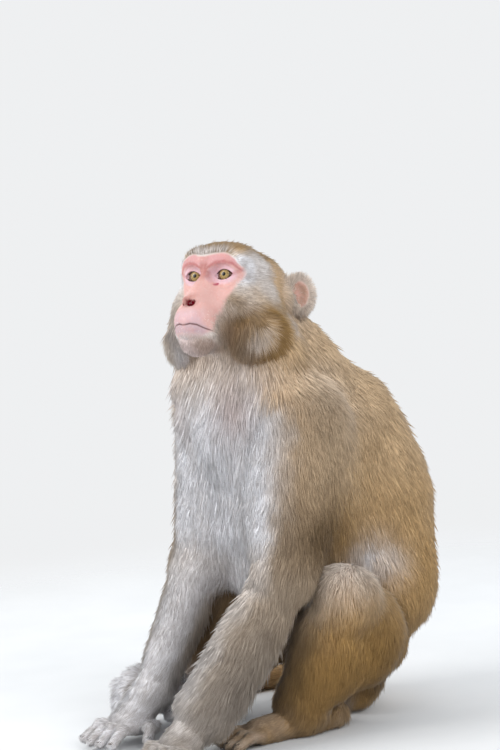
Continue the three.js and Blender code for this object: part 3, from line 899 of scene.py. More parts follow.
def markings(points, normals, forms, weight, fold_shade):
    """The masks that skin and coat share, at points on the skin, each from 0 to 1. A part of the body
    counts by the weight of its forms, so that colours run into each other."""
    x, y, z = points.T
    q = in_head(points)
    side = np.abs(x)
    wobble = noise(points, 30, 11)
    fine = noise(points, 9, 12)

    def part(*names):
        return weight[[plain(form.part) in names for form in forms]].sum(0)

    torso, leg = part("trunk", "neck"), part("thigh", "shank")
    tail = part("tail_root", "tail_middle", "tail_tip")
    arm, paw = part("upper_arm", "forearm"), part("hand", "foot")
    head = part("head", "ear")
    inward = -np.sign(x) * smooth(4, 20, side)
    inner = smooth(0.2, 0.72, 0.6 * normals[:, 0] * inward - 0.8 * normals[:, 1] + 0.1 * fine)

    near_side = smooth(-10, 10, x)
    low = smooth(340, 90, z + 18 * wobble)
    # golden from the loins down
    gold = (torso * 0.92 * low * smooth(-125, -50, y + 6 * fine) + 0.8 * arm * low * smooth(-125, -60, y)
            + leg * np.interp(z + 10 * fine, *GOLD_LEG) + 0.35 * tail)
    # pale chest, belly, flank, shoulder and insides of the arms; painted light makes the far arm a little
    # paler than the near one and the top of the knee paler
    throat = smooth(330, 380, z)
    front = smooth(-62, -92, y + 8 * wobble + 34 * throat) * smooth(72, 42, side)
    front = np.maximum(front, smooth(-0.45, -0.85, normals[:, 1] + 0.12 * fine) * smooth(150, 230, z))
    belly = smooth(-0.3, -0.8, normals[:, 1]) * smooth(240, 150, z)
    flank = haze(points, (64, -20, 168), (30, 36, 28)) * (0.85 + 0.3 * fine)
    shoulder = haze(points, (62, -84, 345), (44, 56, 44))
    # painted light: the top of the knee is paler and less golden, and the leg's painted shade stops there,
    # as if lit from above
    knee = haze(points, (98, -84, 168), (34, 36, 24))
    pale = (torso * np.maximum.reduce([front, 0.85 * belly, flank]) + 0.25 * torso * shoulder
            + arm * inner * (np.interp(z, *PALE_ARM)
                             + 0.4 * (1 - near_side) * smooth(220, 150, z) * smooth(40, 90, z))
            + 0.05 * arm * smooth(10, -10, x) * smooth(50, 150, z)
            + 0.6 * leg * knee + 0.4 * paw * (0.6 + 0.4 * fine))
    # grey forearms and hands; painted shade makes the left foot tawny and dark, painted light makes the
    # right foot and hand paler
    near_foot = part("foot") * near_side
    grey = 0.6 * arm * smooth(280, 60, z + 10 * fine) * smooth(-85, -140, y) + 0.4 * arm + paw - near_foot
    gold += 0.8 * near_foot - 0.6 * leg * knee
    pale += (part("foot") + 0.5 * part("hand")) * (1 - near_side)
    # painted shade on the legs, behind the elbow, on the outside of the near arm, on the left foot and
    # under the seat, and a flush on the throat
    elbow = haze(points, (90, -98, 208), (36, 46, 36))
    gold += 0.9 * elbow * (1 - inner) - 0.25 * haze(points, (64, 46, 110), (40, 50, 36))
    dark = (leg * np.maximum(0.4 * smooth(165, 60, z) * (1 - knee), 0.7 * inner * smooth(150, 110, z))
            + 0.1 * leg * smooth(-75, -35, y)
            + 0.25 * torso * smooth(60, 20, z) + (0.85 * torso + 0.75 * arm) * elbow * (1 - inner)
            + arm * near_side * (0.17 + 0.13 * smooth(140, 50, z)) * (1 - inner) + 0.5 * near_foot)
    blush = 0.5 * haze(points, (36, -146, 350), (20, 24, 28)) * torso

    # the head: whorl and fringe of the jowls, temples, brow, cheeks, jaw, crown, nape and ears
    ruff = np.linalg.norm(folded(q) - RUFF_AT, axis=1) / RUFF_REACH + 0.1 * fine
    rosette = smooth(0.55, 0.15, ruff)
    fringe = smooth(0.25, 0.6, ruff) * smooth(1.5, 1.0, ruff)
    # painted shade: shaded is 1 on the near side of the head (its left) and 0.25 on the far side; it
    # darkens the near cheek, jaw, side of the throat and fringe, and the far fringe is painted paler
    shaded = 0.25 + 0.75 * smooth(-12, 12, q[:, 0])
    temple = np.maximum(spot(q, (34, 22, 6), (11, 24, 20)), 0.8 * spot(q, (43, 28, -14), (12, 14, 18)))
    browband = smooth(6, 1, q[:, 2] - np.interp(np.abs(q[:, 0]), *HAIRLINE)) * smooth(20, 0, q[:, 1])
    cheek = np.maximum(0.85 * haze(q, (31, -2, -27), (11, 13, 12)), haze(q, (35, 3, -43), (13, 15, 13)))
    cheek = np.maximum(cheek * (0.8 + 0.35 * fine), 0.45 * haze(q, (34, 0, -32), (13, 16, 18)))
    cheek = cheek * (0.4 + 0.6 * shaded)
    jaw = haze(q, (26, 4, -55), (15, 20, 18)) * (0.4 + 0.6 * shaded)
    throat_side = 0.7 * haze(q, (48, 14, -72), (18, 20, 12)) * shaded
    chin = smooth(-60, -68, q[:, 2]) * smooth(24, 0, q[:, 1])
    beard = chin * smooth(-2, 12, q[:, 0])
    crown = smooth(17, 25, q[:, 2])
    behind = smooth(28, 48, q[:, 1]) * smooth(26, 10, q[:, 2])
    under_ear = spot(q, (50, 54, -38), (14, 16, 12))
    ear = part("ear")
    gold += head * (0.85 * crown + 0.8 * behind + fringe * shaded + 0.8 * cheek + jaw + throat_side
                    + 0.7 * beard + 0.35 * ear)
    pale += head * (0.68 * temple + 0.28 * rosette + 0.7 * browband + 0.35 * (chin - beard)
                    + 0.5 * under_ear + 0.5 * ear) * (1 - cheek) * (1 - 0.8 * jaw)
    pale += head * 0.75 * fringe * (1 - shaded)
    grey += head * (0.2 * (1 - crown) + 0.25 * temple) * (1 - chin) * (1 - fringe)
    dark += head * np.maximum.reduce([0.8 * cheek, 0.6 * jaw, throat_side, 0.65 * fringe * shaded,
                                      0.48 * crown, 0.4 * beard, 0.2 * temple])
    blush += head * np.maximum(0.6 * chin, 0.4 * jaw)
    # painted shade in the creases: darker and less pale there, less so on the pale flank
    dark = np.maximum(dark, 0.9 * fold_shade * (1 - 0.9 * flank))
    pale = pale * (1 - 0.8 * fold_shade * (1 - flank))
    masks = {"gold": gold, "grey": grey, "pale": pale, "dark": dark, "blush": blush}
    masks.update({key: value * head for key, value in face_regions(q).items()})
    # painted shade: the inside of the nostrils' hollows is near black
    hollow = [form for form in FORMS if form.group == "nostril"]
    masks["nostril"] = smooth(0.95, 0.3, np.min([form.distance(points) for form in hollow], axis=0))
    masks["pinna"] = inside_ear(points, normals) * part("ear")
    masks["bare"] = np.maximum(masks["bare"], masks["pinna"])
    return {key: np.clip(value, 0, 1) for key, value in masks.items()}


SHARED_MARKS = ("gold", "grey", "pale", "blush", "dark")


# ---------------------------------------------------------------- the coat

class Field:
    """Values known at the skin's vertices, which tufts read at their roots: the triangle's corners,
    weighted by how near the root is to each."""

    def __init__(self, mesh):
        mesh.calc_loop_triangles()
        self.corners = np.empty(len(mesh.loop_triangles) * 3, np.int32)
        mesh.loop_triangles.foreach_get("vertices", self.corners)
        self.corners = self.corners.reshape(-1, 3)
        self.points = points_of(mesh)
        normals = np.empty(len(mesh.vertices) * 3, np.float32)
        mesh.vertices.foreach_get("normal", normals)
        self.normals = normals.reshape(-1, 3).astype(float)
        a, b, c = (self.points[self.corners[:, k]] for k in range(3))
        self.areas = np.linalg.norm(np.cross(b - a, c - a), axis=1) / 2

    def scatter(self, density, count):
        """Roots spread over the skin, as dense as density says: equal steps along the running total of
        area times density, and an even draw inside each triangle."""
        total = np.cumsum(self.areas * density[self.corners].mean(1))
        steps = (np.arange(count) + rng.random(count)) * total[-1] / count
        triangle = np.searchsorted(total, steps).clip(0, len(total) - 1)
        u, v = rng.random(count), rng.random(count)
        over = u + v > 1
        u[over], v[over] = 1 - u[over], 1 - v[over]
        return triangle, np.stack([1 - u - v, u, v], -1)

    def read(self, values, triangle, share):
        return np.einsum("tk,tk...->t...", share, values[self.corners[triangle]])


UV_PATCH = 0.003
BEND_AT = 0.38  # of the way up a tuft


def tuft_shapes(root, normal, way, length, width, lift, pull):
    """Closed four-faced blades of hair. A blade's line starts under the skin, leaves at the lift angle and
    bends back and hangs with the square of the way along; two corners stand either side of it at the
    bend. pull moves the tip towards the middle of its lock."""
    side = unit(np.cross(normal, way))

    def line(t):
        rise = length * (np.sin(lift) * t - 0.22 * np.sin(lift) * t * t)
        run = length * np.cos(lift) * t
        return (root + rise[:, None] * normal + run[:, None] * way + pull * t ** 1.6
                + (length * DROOP * t * t)[:, None] * vec(0, 0, -1))

    bend = line(BEND_AT) + 0.2 * width[:, None] * normal
    half = 0.5 * width[:, None] * side
    shapes = np.stack([root - 0.8 * normal, bend + half, bend - half, line(1.0)], 1)
    soft = unit(np.stack([normal, normal + 0.35 * side, normal - 0.35 * side, normal + 0.3 * way], 1))
    return shapes, soft


TUFT_FACES = np.array([[0, 2, 1], [1, 2, 3], [0, 1, 3], [0, 3, 2]])
TUFT_ALONG = np.array([0, BEND_AT, BEND_AT, 1.0])
TUFT_PATCH = np.array([[0, -0.5], [0.5, 0], [-0.5, 0], [0, 0.5]]) * UV_PATCH


def unwrapped(points, axis):
    """Places on the skin laid out flat: the angle round the axis and the way along it, each from 0 to 1."""
    foot, ahead = vec(*axis[0]), unit(vec(*axis[1]) - vec(*axis[0]))
    side = unit(np.cross(ahead, vec(0.21, 0.93, 0.3)))
    up = np.cross(ahead, side)
    q = points - foot
    turn = np.arctan2(q @ up, q @ side) / (2 * math.pi) + 0.5
    along = q @ ahead
    radial = np.linalg.norm(q - along[:, None] * ahead, axis=1)
    along = along - 0.6 * radial * np.sign(along - np.median(along))
    along = (along - along.min()) / (np.ptp(along) + 1e-9)
    return np.stack([turn, along], -1) * (1 - 2 * UV_PATCH) + UV_PATCH


def coat_mesh(name, root, shapes, soft, marks, tone, axis, material):
    """One piece of coat: the tufts, their masks, and the map on which each has its own patch."""
    count, corners = shapes.shape[:2]
    faces = (TUFT_FACES + corners * np.arange(count)[:, None, None]).reshape(-1, 3)
    obj = put_mesh(name, shapes.reshape(-1, 3), faces, material)
    mesh = obj.data
    add_attribute(mesh, "along", np.tile(TUFT_ALONG, count))
    add_attribute(mesh, "tone", np.repeat(tone, corners))
    for key, values in marks.items():
        add_attribute(mesh, key, np.repeat(values, corners))
    add_attribute(mesh, "custom_normal", soft, "FLOAT_VECTOR")
    uv = (unwrapped(root, axis)[:, None] + TUFT_PATCH[None]).reshape(-1, 2)
    layer = mesh.uv_layers.new(name="OFBake")
    layer.uv.foreach_set("vector", uv[faces.ravel()].astype(np.float32).ravel())
    return obj


# ---------------------------------------------------------------- what grows where

# by part of the body: tufts to the square millimetre, their width, and the size of a lock of hair
HAIR = {
    "trunk": (0.74, 0.5, 9), "neck": (0.85, 0.5, 9), "head": (1.8, 0.36, 6), "ear": (1.5, 0.32, 4),
    "upper_arm": (0.8, 0.46, 8), "forearm": (0.8, 0.46, 8), "hand": (1.3, 0.38, 4),
    "thigh": (0.7, 0.5, 9), "shank": (0.75, 0.48, 8), "foot": (0.6, 0.44, 4), "tail": (0.6, 0.5, 6),
}
EARS = ("ear_left", "ear_right")
ALL = (-9, 999)


def coat_pieces():
    """For each piece of coat the parts it covers, from which height to which, and the two ends of the axis
    it is unwrapped about."""
    found = {
        "coat_haunches": (("trunk",), (-9, 120), ((0, 0, -60), (0, 0, 200))),
        "coat_waist": (("trunk",), (120, 215), ((0, 0, 100), (0, 0, 250))),
        "coat_ribs": (("trunk",), (215, 290), ((0, -10, 200), (0, -10, 300))),
        "coat_shoulders": (("trunk",), (290, 999), ((0, -50, 280), (0, -60, 400))),
        "coat_neck": (("neck",), ALL, ((0, -80, 340), (0, -100, 420))),
        "coat_crown": (("head",), (440, 999), ((20, -110, 400), (20, -110, 500))),
        "coat_cheeks": (("head", *EARS), (-9, 440), ((20, -110, 380), (20, -110, 480))),
        "coat_ears": (EARS, ALL, ((20, -110, 380), (20, -110, 480))),
    }
    for limb, joints, parts, ends in (("arm", ARMS, ("upper_arm", "forearm"), ("shoulder", "wrist")),
                                      ("leg", LEGS, ("thigh", "shank"), ("knee", "ankle"))):
        for side in SIDES:
            covered = tuple(f"{part}_{side}" for part in parts)
            found[f"coat_{limb}_{side}"] = (covered, ALL, [joints[side][end] for end in ends])
    found["coat_hands"] = (("hand_left", "hand_right"), ALL, ((0, -220, 60), (0, -260, 0)))
    found["coat_feet"] = (("foot_left", "foot_right"), ALL, ((0, -60, 20), (0, -180, 20)))
    found["coat_tail"] = (("tail_root", "tail_middle", "tail_tip"), ALL, ((-60, 60, -10), (-60, 60, 30)))
    return found


MOST_TUFTS = 49500  # in a piece, which keeps it under 200,000 triangles
LENGTH_TO_DEPTH = 2.9  # a hair lies along the body, so it is longer than the coat is deep
LIFT_TO_DEPTH = 0.85  # share of the coat's depth to which a tuft's start points
GUARD_SHARE, GUARD_LIFT = 0.05, 0.22  # a few tufts stand off the rest by this angle
DROOP = 0.08  # share of its length by which a tuft's tip hangs
LOCK_PULL = 0.10  # share of the way to the middle of its lock that a tip moves
LOWEST_HAIR = 0.5  # above the ground


def standing(points, normals, part):
    """Where hair is longer and stands off the body, from 0 to 1: on the hands, the raised foot and the
    ears, over the brow, along the back of the forearms and on the chest."""
    def on(*names):
        return np.logical_or.reduce([np.char.startswith(part.astype(str), name) for name in names])

    q = in_head(points)
    depth, height = points[:, 1], points[:, 2]
    return np.maximum.reduce([
        0.5 * on("hand") * smooth(-0.2, 0.4, normals[:, 2]),
        0.9 * on("foot_right") * smooth(20, 34, height),
        0.9 * on("ear"),
        0.6 * smooth(17, 21, q[:, 2]) * smooth(30, 22, q[:, 2]) * smooth(26, 6, q[:, 1]),
        0.5 * on("forearm") * smooth(0.0, 0.8, normals[:, 1] - normals[:, 2]),
        0.3 * on("trunk", "neck") * smooth(-60, -110, depth) * smooth(180, 230, height),
    ])


def grow_coat(skin, material):
    """All the pieces of coat, from values worked out at the skin's vertices."""
    field = Field(skin.data)
    points, normals = field.points, field.normals
    forms, weight, gaps = weights_of_forms(points)
    nearest = gaps.argmin(0)
    names = np.array([form.part for form in forms])
    part = names[nearest]
    marks = markings(points, normals, forms, weight, crease_shade(forms, gaps))
    for key, values in marks.items():
        add_attribute(skin.data, key, values)

    depth = weight.T @ np.array([form.coat for form in forms])
    lay = np.zeros_like(points)
    for form, share in zip(forms, weight):
        some = np.flatnonzero(share > 0.01)
        way = form.lay(points[some]) if callable(form.lay) else unit(form.lay)
        lay[some] += share[some, None] * way
    kinds = {name: next(HAIR[k] for k in HAIR if name.startswith(k)) for name in set(names)}
    density, width, lock = (np.array([kinds[name][k] for name in names])[nearest] for k in range(3))
    bare = marks["bare"]
    length = LENGTH_TO_DEPTH * depth * (1 - 0.45 * bare)
    width = width * (1 - 0.55 * bare)
    hidden = np.maximum.reduce([marks["lips"] * 0.7, marks["nostril"], marks["orbit"] ** 0.3,
                                marks["brow"] * 0.9, marks["nose"], marks["line"], marks["tear"]])
    upper = smooth(-44, -36, in_head(points)[:, 2])
    density = density * (1 - (0.88 + 0.12 * upper) * bare) * (1 - hidden) * (points[:, 2] > 1.5)
    density *= np.where(depth < 1.2, 0.5, 1.0)
    stand = standing(points, normals, part)
    length = length * (1 + stand)
    values = {"depth": depth, "length": length, "width": width, "lock": lock, "stand": 0.5 * stand}
    made = []
    for name, (parts, (low, high), axis) in coat_pieces().items():
        here = np.isin(part, parts) & (points[:, 2] >= low) & (points[:, 2] < high)
        thick = density * here
        count = int(min((field.areas * thick[field.corners].mean(1)).sum(), MOST_TUFTS))
        triangle, share = field.scatter(thick, count)
        root, normal = field.read(points, triangle, share), unit(field.read(normals, triangle, share))
        way = field.read(lay, triangle, share)
        at = {key: field.read(array, triangle, share) for key, array in values.items()}
        made.append(grow_piece(name, root, normal, way, at,
                               {key: field.read(marks[key], triangle, share) for key in SHARED_MARKS},
                               axis, material))
    return made


def grow_piece(name, root, normal, way, at, marks, axis, material):
    """Tufts at the roots: they follow the lay of the coat with small swings, lean towards the middle of
    their lock, and stand off the skin by about the depth of the coat."""
    count = len(root)
    flat = np.linalg.norm(way - (way * normal).sum(1)[:, None] * normal, axis=1)
    flat = 0.45 + 0.55 * smooth(0.1, 0.5, flat)  # shorter and closer where the coat parts
    way = unit(way) + 0.35 * noise_vector(root, 22, 41) + 0.12 * noise_vector(root, 6, 51)
    way = way + 0.10 * rng.normal(size=(count, 3))
    way = unit(way - (way * normal).sum(1)[:, None] * normal)
    length = at["length"] * (0.85 + 0.35 * rng.random(count)) * (1 + 0.15 * noise(root, 15, 61))
    length = length * flat
    lift = np.arcsin(np.clip(LIFT_TO_DEPTH * at["depth"] / (at["length"] + 0.1), 0, 0.75))
    guard = GUARD_LIFT * (rng.random(count) < GUARD_SHARE)
    lift = (lift + at["stand"] + guard) * flat * (0.5 + 0.7 * rng.random(count))
    size = np.median(at["lock"])
    pull = lock_centres(root, size, 71) - root
    pull = LOCK_PULL * (pull - (pull * normal).sum(1)[:, None] * normal) * (length / 20).clip(0, 1)[:, None]
    width = at["width"] * (0.8 + 0.4 * rng.random(count))
    shapes, soft = tuft_shapes(root, normal, way, length, width, lift, pull)
    shapes[..., 2] = np.maximum(shapes[..., 2], LOWEST_HAIR)
    tone = 0.5 + 0.10 * noise(root, size * 0.8, 81) + 0.16 * noise(root, 2.8, 91)
    tone = np.clip(tone + 0.13 * rng.normal(size=count), 0, 1)
    return coat_mesh(name, root, shapes, soft, marks, tone, axis, material)


# ---------------------------------------------------------------- eyes, lids and nails

IRIS = 5.7
PUPIL = 1.8
GAZE = turned(9, -4)  # the eyes look a little further to its left and up than the face


def make_eye(side, material):
    """An eyeball in rings round the way it looks: the radius grows by the bulge of the cornea."""
    s = SIDES[side]
    away = np.concatenate([np.linspace(0, 0.75, 26), np.linspace(0.8, math.pi, 16)])
    turn = around(48)
    radius = EYE_RADIUS - 0.1 + 0.9 * smooth(0.72, 0.25, away)
    flat = np.sin(away)[:, None]
    local = np.stack([flat * np.cos(turn), -np.cos(away)[:, None] + 0 * turn, flat * np.sin(turn)], -1)
    local = local * radius[:, None, None]
    centre = on_head(s * HALF_EYES, EYE_DEPTH, 0)
    points = centre + local.reshape(-1, 3) @ (HEAD_TURN @ GAZE).T
    obj = put_mesh(f"eyeball_{side}", points, grid_faces(len(away), len(turn)), material)
    out = EYE_RADIUS * away[:, None] + 0 * turn
    fibre = np.stack([3 * np.cos(turn) + 0 * out, 3 * np.sin(turn) + 0 * out, out * 0.12], -1)
    add_attribute(obj.data, "from_pupil", out.ravel())
    add_attribute(obj.data, "fibre", fibre.reshape(-1, 3), "FLOAT_VECTOR")
    return closed(obj)


def closed(obj, fill=False):
    """Points that share a place are made one, holes may be filled, and faces are turned outwards."""
    bm = bmesh.new()
    bm.from_mesh(obj.data)
    bmesh.ops.remove_doubles(bm, verts=bm.verts, dist=1e-6)
    if fill:
        bmesh.ops.holes_fill(bm, edges=bm.edges)
    bmesh.ops.recalc_face_normals(bm, faces=bm.faces)
    bm.to_mesh(obj.data)
    bm.free()
    return obj


def lid_outline(count):
    """Points round the open eye: the upper arc out, the lower arc back."""
    turn = around(count)
    out, up = np.cos(turn), np.sin(turn)
    reach = np.full(count, 4.0)
    for _ in range(24):
        reach -= 0.6 * lid_gap(reach * out, reach * up)
    return reach * out, reach * up


def make_lid_rim(side, material):
    """The dark wet edge of the lids: a round cord along the outline of the open eye, where it meets the
    eyeball."""
    s = SIDES[side]
    out, up = lid_outline(72)
    lift = EYE_RADIUS + 0.35
    path = np.stack([s * (HALF_EYES + out), EYE_DEPTH - np.sqrt(lift ** 2 - out ** 2 - up ** 2), up], -1)
    path = HEAD_AT + path @ HEAD_TURN.T
    eye = on_head(s * HALF_EYES, EYE_DEPTH, 0)
    ahead = unit(np.roll(path, -1, 0) - np.roll(path, 1, 0))
    outward = unit(path - eye)
    across = np.cross(ahead, outward)
    # the rim is thicker along the upper lid: partly the dark lid edge, partly painted shade under the upper
    # lid
    thick = 0.62 + 0.15 * smooth(0, 4, up)
    turn = around(8)
    ring = (np.cos(turn)[None, :, None] * across[:, None] + np.sin(turn)[None, :, None] * outward[:, None])
    rows = path[:, None] + thick[:, None, None] * ring
    rows = np.concatenate([rows, rows[:1]])
    obj = put_mesh(f"lid_rim_{side}", rows.reshape(-1, 3), grid_faces(len(rows), 8), material)
    return closed(obj)


def make_nails(name, tips, material):
    """Nails: each a curved plate round the tip of its digit, an arc across and a bend along, as thick as
    half a millimetre in the middle and nothing at its ends."""
    rows, cols = 9, 9
    v, u = np.linspace(0, 1, rows), np.linspace(-1, 1, cols)
    verts, faces = [], []
    for k, (tip, turn, radius) in enumerate(tips):
        arc = u[None, :] * 1.05 * np.sqrt(np.clip(1 - (v[:, None] - 0.25) ** 2 / 0.62, 0.05, 1))
        body = radius + 0.35
        along = 3.6 - 8.4 * v[:, None] - 0.4 * np.cos(arc)
        sheets = []
        for thick in (0.35, -0.35):
            r = body + thick * (1 - u[None, :] ** 4) * (1 - (2 * v[:, None] - 1) ** 6)
            top = r * np.cos(arc) - 1.6 * v[:, None] ** 2
            sheets.append(np.stack([r * np.sin(arc), along + 0 * arc, top], -1))
        ring = np.concatenate([sheets[0], sheets[1][:, ::-1]], 1)
        verts.append(tip + ring.reshape(-1, 3) @ turn.T)
        faces.append(grid_faces(rows, 2 * cols, k * rows * 2 * cols))
    obj = put_mesh(name, np.concatenate(verts), np.concatenate(faces), material)
    return closed(obj, fill=True)


# ---------------------------------------------------------------- materials

COLOURS = {  # linear light
    "tawny": (0.68, 0.485, 0.29),
    "gold": (0.53, 0.31, 0.095),
    "cream": (0.90, 0.905, 0.96),
    "grey": (0.43, 0.375, 0.325),
    "blush": (0.60, 0.385, 0.32),
    "umber": (0.115, 0.07, 0.03),
    "flesh": (0.66, 0.38, 0.34),
    "rosy": (0.57, 0.28, 0.28),
    "lilac": (0.70, 0.46, 0.51),
    "nose": (0.40, 0.175, 0.145),
    "lip": (0.51, 0.35, 0.37),
    "flush": (0.42, 0.13, 0.125),
    "tear": (0.33, 0.012, 0.07),
    "mouth": (0.12, 0.045, 0.04),
    # painted shade inside the nostrils
    "nostril": (0.10, 0.001, 0.006),
    "pinna": (0.41, 0.235, 0.165),
}


def new_material(name):
    """A material and the sheet on which its nodes are laid out."""
    material = bpy.data.materials.new(name)
    material.use_nodes = True
    material.node_tree.nodes.clear()
    return material, Sheet(material.node_tree)


class Sheet:
    """A node tree under construction: add() places a node, sets its properties, and takes a socket or a
    plain value for each input."""

    def __init__(self, tree):
        self.tree = tree
        self.count = 0

    def add(self, kind, inputs=None, out=0, **props):
        node = self.tree.nodes.new(kind)
        node.location = (190 * (self.count % 8), -240 * (self.count // 8))
        self.count += 1
        for key, value in props.items():
            setattr(node, key, value)
        for key, value in (inputs or {}).items():
            if isinstance(value, bpy.types.NodeSocket):
                self.tree.links.new(value, node.inputs[key])
            else:
                node.inputs[key].default_value = value
        return node if out is None else node.outputs[out]

    def attribute(self, name, out="Fac"):
        return self.add("ShaderNodeAttribute", out=out, attribute_name=name)

    def mix(self, factor, a, b, blend="MIX"):
        inputs = {0: factor, 6: a, 7: b}
        for key in (6, 7):
            if isinstance(inputs[key], tuple):
                inputs[key] = (*inputs[key], 1)
        return self.add("ShaderNodeMix", inputs, 2, data_type="RGBA", blend_type=blend)

    def math(self, operation, a, b=0.0):
        return self.add("ShaderNodeMath", {0: a, 1: b}, operation=operation)

    def ramp(self, value, low, high, to_low=0.0, to_high=1.0):
        """Runs from to_low to to_high along an S curve as the value goes from low to high."""
        return self.add("ShaderNodeMapRange", {"Value": value, "From Min": low, "From Max": high,
                                               "To Min": to_low, "To Max": to_high},
                        interpolation_type="SMOOTHSTEP")

    def grain(self, scale, detail=3.0, stretch=None):
        """Noise over the object's own coordinates, in metres: scale is spots to the metre."""
        where = self.add("ShaderNodeTexCoord", out="Object")
        if stretch is not None:
            where = self.add("ShaderNodeMapping", {"Vector": where, "Scale": stretch})
        return self.add("ShaderNodeTexNoise", {"Vector": where, "Scale": scale, "Detail": detail}, "Fac")

    def bump(self, height, strength, depth):
        """A normal tipped by the height's slope; depth in metres."""
        return self.add("ShaderNodeBump", {"Height": height, "Strength": strength, "Distance": depth})

    def times(self, colour, factors):
        """A colour multiplied channel by channel."""
        return self.mix(1.0, colour, factors, "MULTIPLY")

    def surface(self, **inputs):
        """The material's Principled shader and its output."""
        shader = self.add("ShaderNodeBsdfPrincipled", {k.replace("_", " "): v for k, v in inputs.items()})
        self.add("ShaderNodeOutputMaterial", {"Surface": shader}, None)


def new_group(name, outputs, inputs=()):
    """An empty node group with named sockets."""
    tree = bpy.data.node_groups.new(name, "ShaderNodeTree")
    for key, kind in inputs:
        tree.interface.new_socket(key, in_out="INPUT", socket_type=kind)
    for key, kind in outputs:
        tree.interface.new_socket(key, in_out="OUTPUT", socket_type=kind)
    return tree


def markings_group():
    """The colours of coat and bare skin, laid out by the masks that both carry."""
    tree = new_group("markings", [("Coat", "NodeSocketColor"), ("Bare skin", "NodeSocketColor")])
    sheet = Sheet(tree)
    coat = sheet.mix(sheet.attribute("gold"), COLOURS["tawny"], COLOURS["gold"])
    coat = sheet.mix(sheet.attribute("grey"), coat, COLOURS["grey"])
    coat = sheet.mix(sheet.attribute("pale"), coat, COLOURS["cream"])
    coat = sheet.mix(sheet.attribute("blush"), coat, COLOURS["blush"])
    coat = sheet.mix(sheet.attribute("dark"), coat, COLOURS["umber"])
    skin = sheet.mix(sheet.attribute("orbit"), COLOURS["flesh"], COLOURS["lilac"])
    for mask, colour in (("brow", "rosy"), ("flush", "flush"), ("nose", "nose"), ("lips", "lip"),
                         ("tear", "tear"), ("line", "mouth"), ("nostril", "nostril"), ("pinna", "pinna")):
        skin = sheet.mix(sheet.attribute(mask), skin, COLOURS[colour])
    sheet.add("NodeGroupOutput", {"Coat": coat, "Bare skin": skin}, None)
    return tree


def mottle_group():
    """Blotches of blood under the skin and fine pores: a colour, and a height for a bump."""
    tree = new_group("mottle", [("Color", "NodeSocketColor"), ("Height", "NodeSocketFloat")],
                     [("Color", "NodeSocketColor"), ("Amount", "NodeSocketFloat")])
    sheet = Sheet(tree)
    start = sheet.add("NodeGroupInput", out=None)
    blood = sheet.ramp(sheet.grain(110, 4), 0.42, 0.72)
    blood = sheet.math("MULTIPLY", blood, start.outputs["Amount"])
    colour = sheet.mix(blood, start.outputs["Color"], (0.62, 0.30, 0.26))
    pale = sheet.ramp(sheet.grain(420, 3), 0.5, 0.8, 0, 0.2)
    colour = sheet.mix(pale, colour, (0.86, 0.66, 0.62))
    height = sheet.math("ADD", sheet.grain(1500, 2), sheet.math("MULTIPLY", sheet.grain(500, 3), 1.2))
    sheet.add("NodeGroupOutput", {"Color": colour, "Height": height}, None)
    return tree


def skin_material(markings, mottle):
    """Bare skin, blotched and pored, and under the coat a skin in the coat's own colours."""
    material, sheet = new_material("skin")
    marks = sheet.add("ShaderNodeGroup", out=None, node_tree=markings)
    under = sheet.times(marks.outputs["Coat"], (0.84, 0.79, 0.75))
    own = sheet.add("ShaderNodeGroup", out=None, node_tree=mottle)
    sheet.tree.links.new(marks.outputs["Bare skin"], own.inputs["Color"])
    own.inputs["Amount"].default_value = 0.42
    colour = sheet.mix(sheet.attribute("bare"), under, own.outputs["Color"])
    bump = sheet.bump(own.outputs["Height"], 0.45, 0.0004)
    rough = sheet.ramp(sheet.grain(300, 2), 0.3, 0.7, 0.48, 0.62)
    shine = sheet.ramp(sheet.attribute("nostril"), 0.0, 0.6, 0.5, 0.0)
    sheet.surface(Base_Color=colour, Roughness=rough, Normal=bump, Specular_IOR_Level=shine,
                  Subsurface_Weight=0.1, Subsurface_Radius=(0.004, 0.0015, 0.001), Subsurface_Scale=1.0)
    return material


def coat_material(markings):
    """Each tuft is darker at its root and palest towards its tip; tufts differ in tone."""
    material, sheet = new_material("coat")
    marks = sheet.add("ShaderNodeGroup", out=None, node_tree=markings)
    along, tone = sheet.attribute("along"), sheet.attribute("tone")
    colour = marks.outputs["Coat"]
    deep = sheet.times(colour, (0.84, 0.80, 0.76))
    colour = sheet.mix(sheet.ramp(along, 0.0, 0.45), deep, colour)
    dim, bright = sheet.times(colour, (0.74, 0.70, 0.66)), sheet.times(colour, (1.27, 1.26, 1.24))
    colour = sheet.mix(sheet.ramp(tone, 0.15, 0.85), dim, bright)
    rough = sheet.ramp(tone, 0, 1, 0.62, 0.8)
    sheet.surface(Base_Color=colour, Roughness=rough, Specular_IOR_Level=0.3, Sheen_Weight=0.2,
                  Sheen_Roughness=0.4)
    return material


def eye_material():
    """Black pupil, amber iris with fibres that run outwards, a dark ring, and brown beyond."""
    material, sheet = new_material("eye")
    out = sheet.attribute("from_pupil")
    where = sheet.attribute("fibre", "Vector")
    fibres = sheet.add("ShaderNodeTexNoise", {"Vector": where, "Scale": 3.2, "Detail": 4.0}, "Fac")
    amber = sheet.mix(sheet.ramp(fibres, 0.35, 0.65), (0.17, 0.10, 0.03), (0.45, 0.32, 0.13))
    amber = sheet.mix(sheet.ramp(out, 3.6, 1.8), amber, (0.36, 0.26, 0.10))
    rim = sheet.ramp(out, IRIS - 1.3, IRIS - 0.1)
    colour = sheet.mix(rim, amber, (0.03, 0.016, 0.008))
    colour = sheet.mix(sheet.ramp(out, IRIS, IRIS + 0.7), colour, (0.16, 0.085, 0.06))
    colour = sheet.mix(sheet.ramp(out, PUPIL + 0.15, PUPIL - 0.1), colour, (0.003, 0.003, 0.003))
    sheet.surface(Base_Color=colour, Roughness=0.22, Coat_Weight=0.35, Coat_Roughness=0.03,
                  Specular_IOR_Level=0.15)
    return material


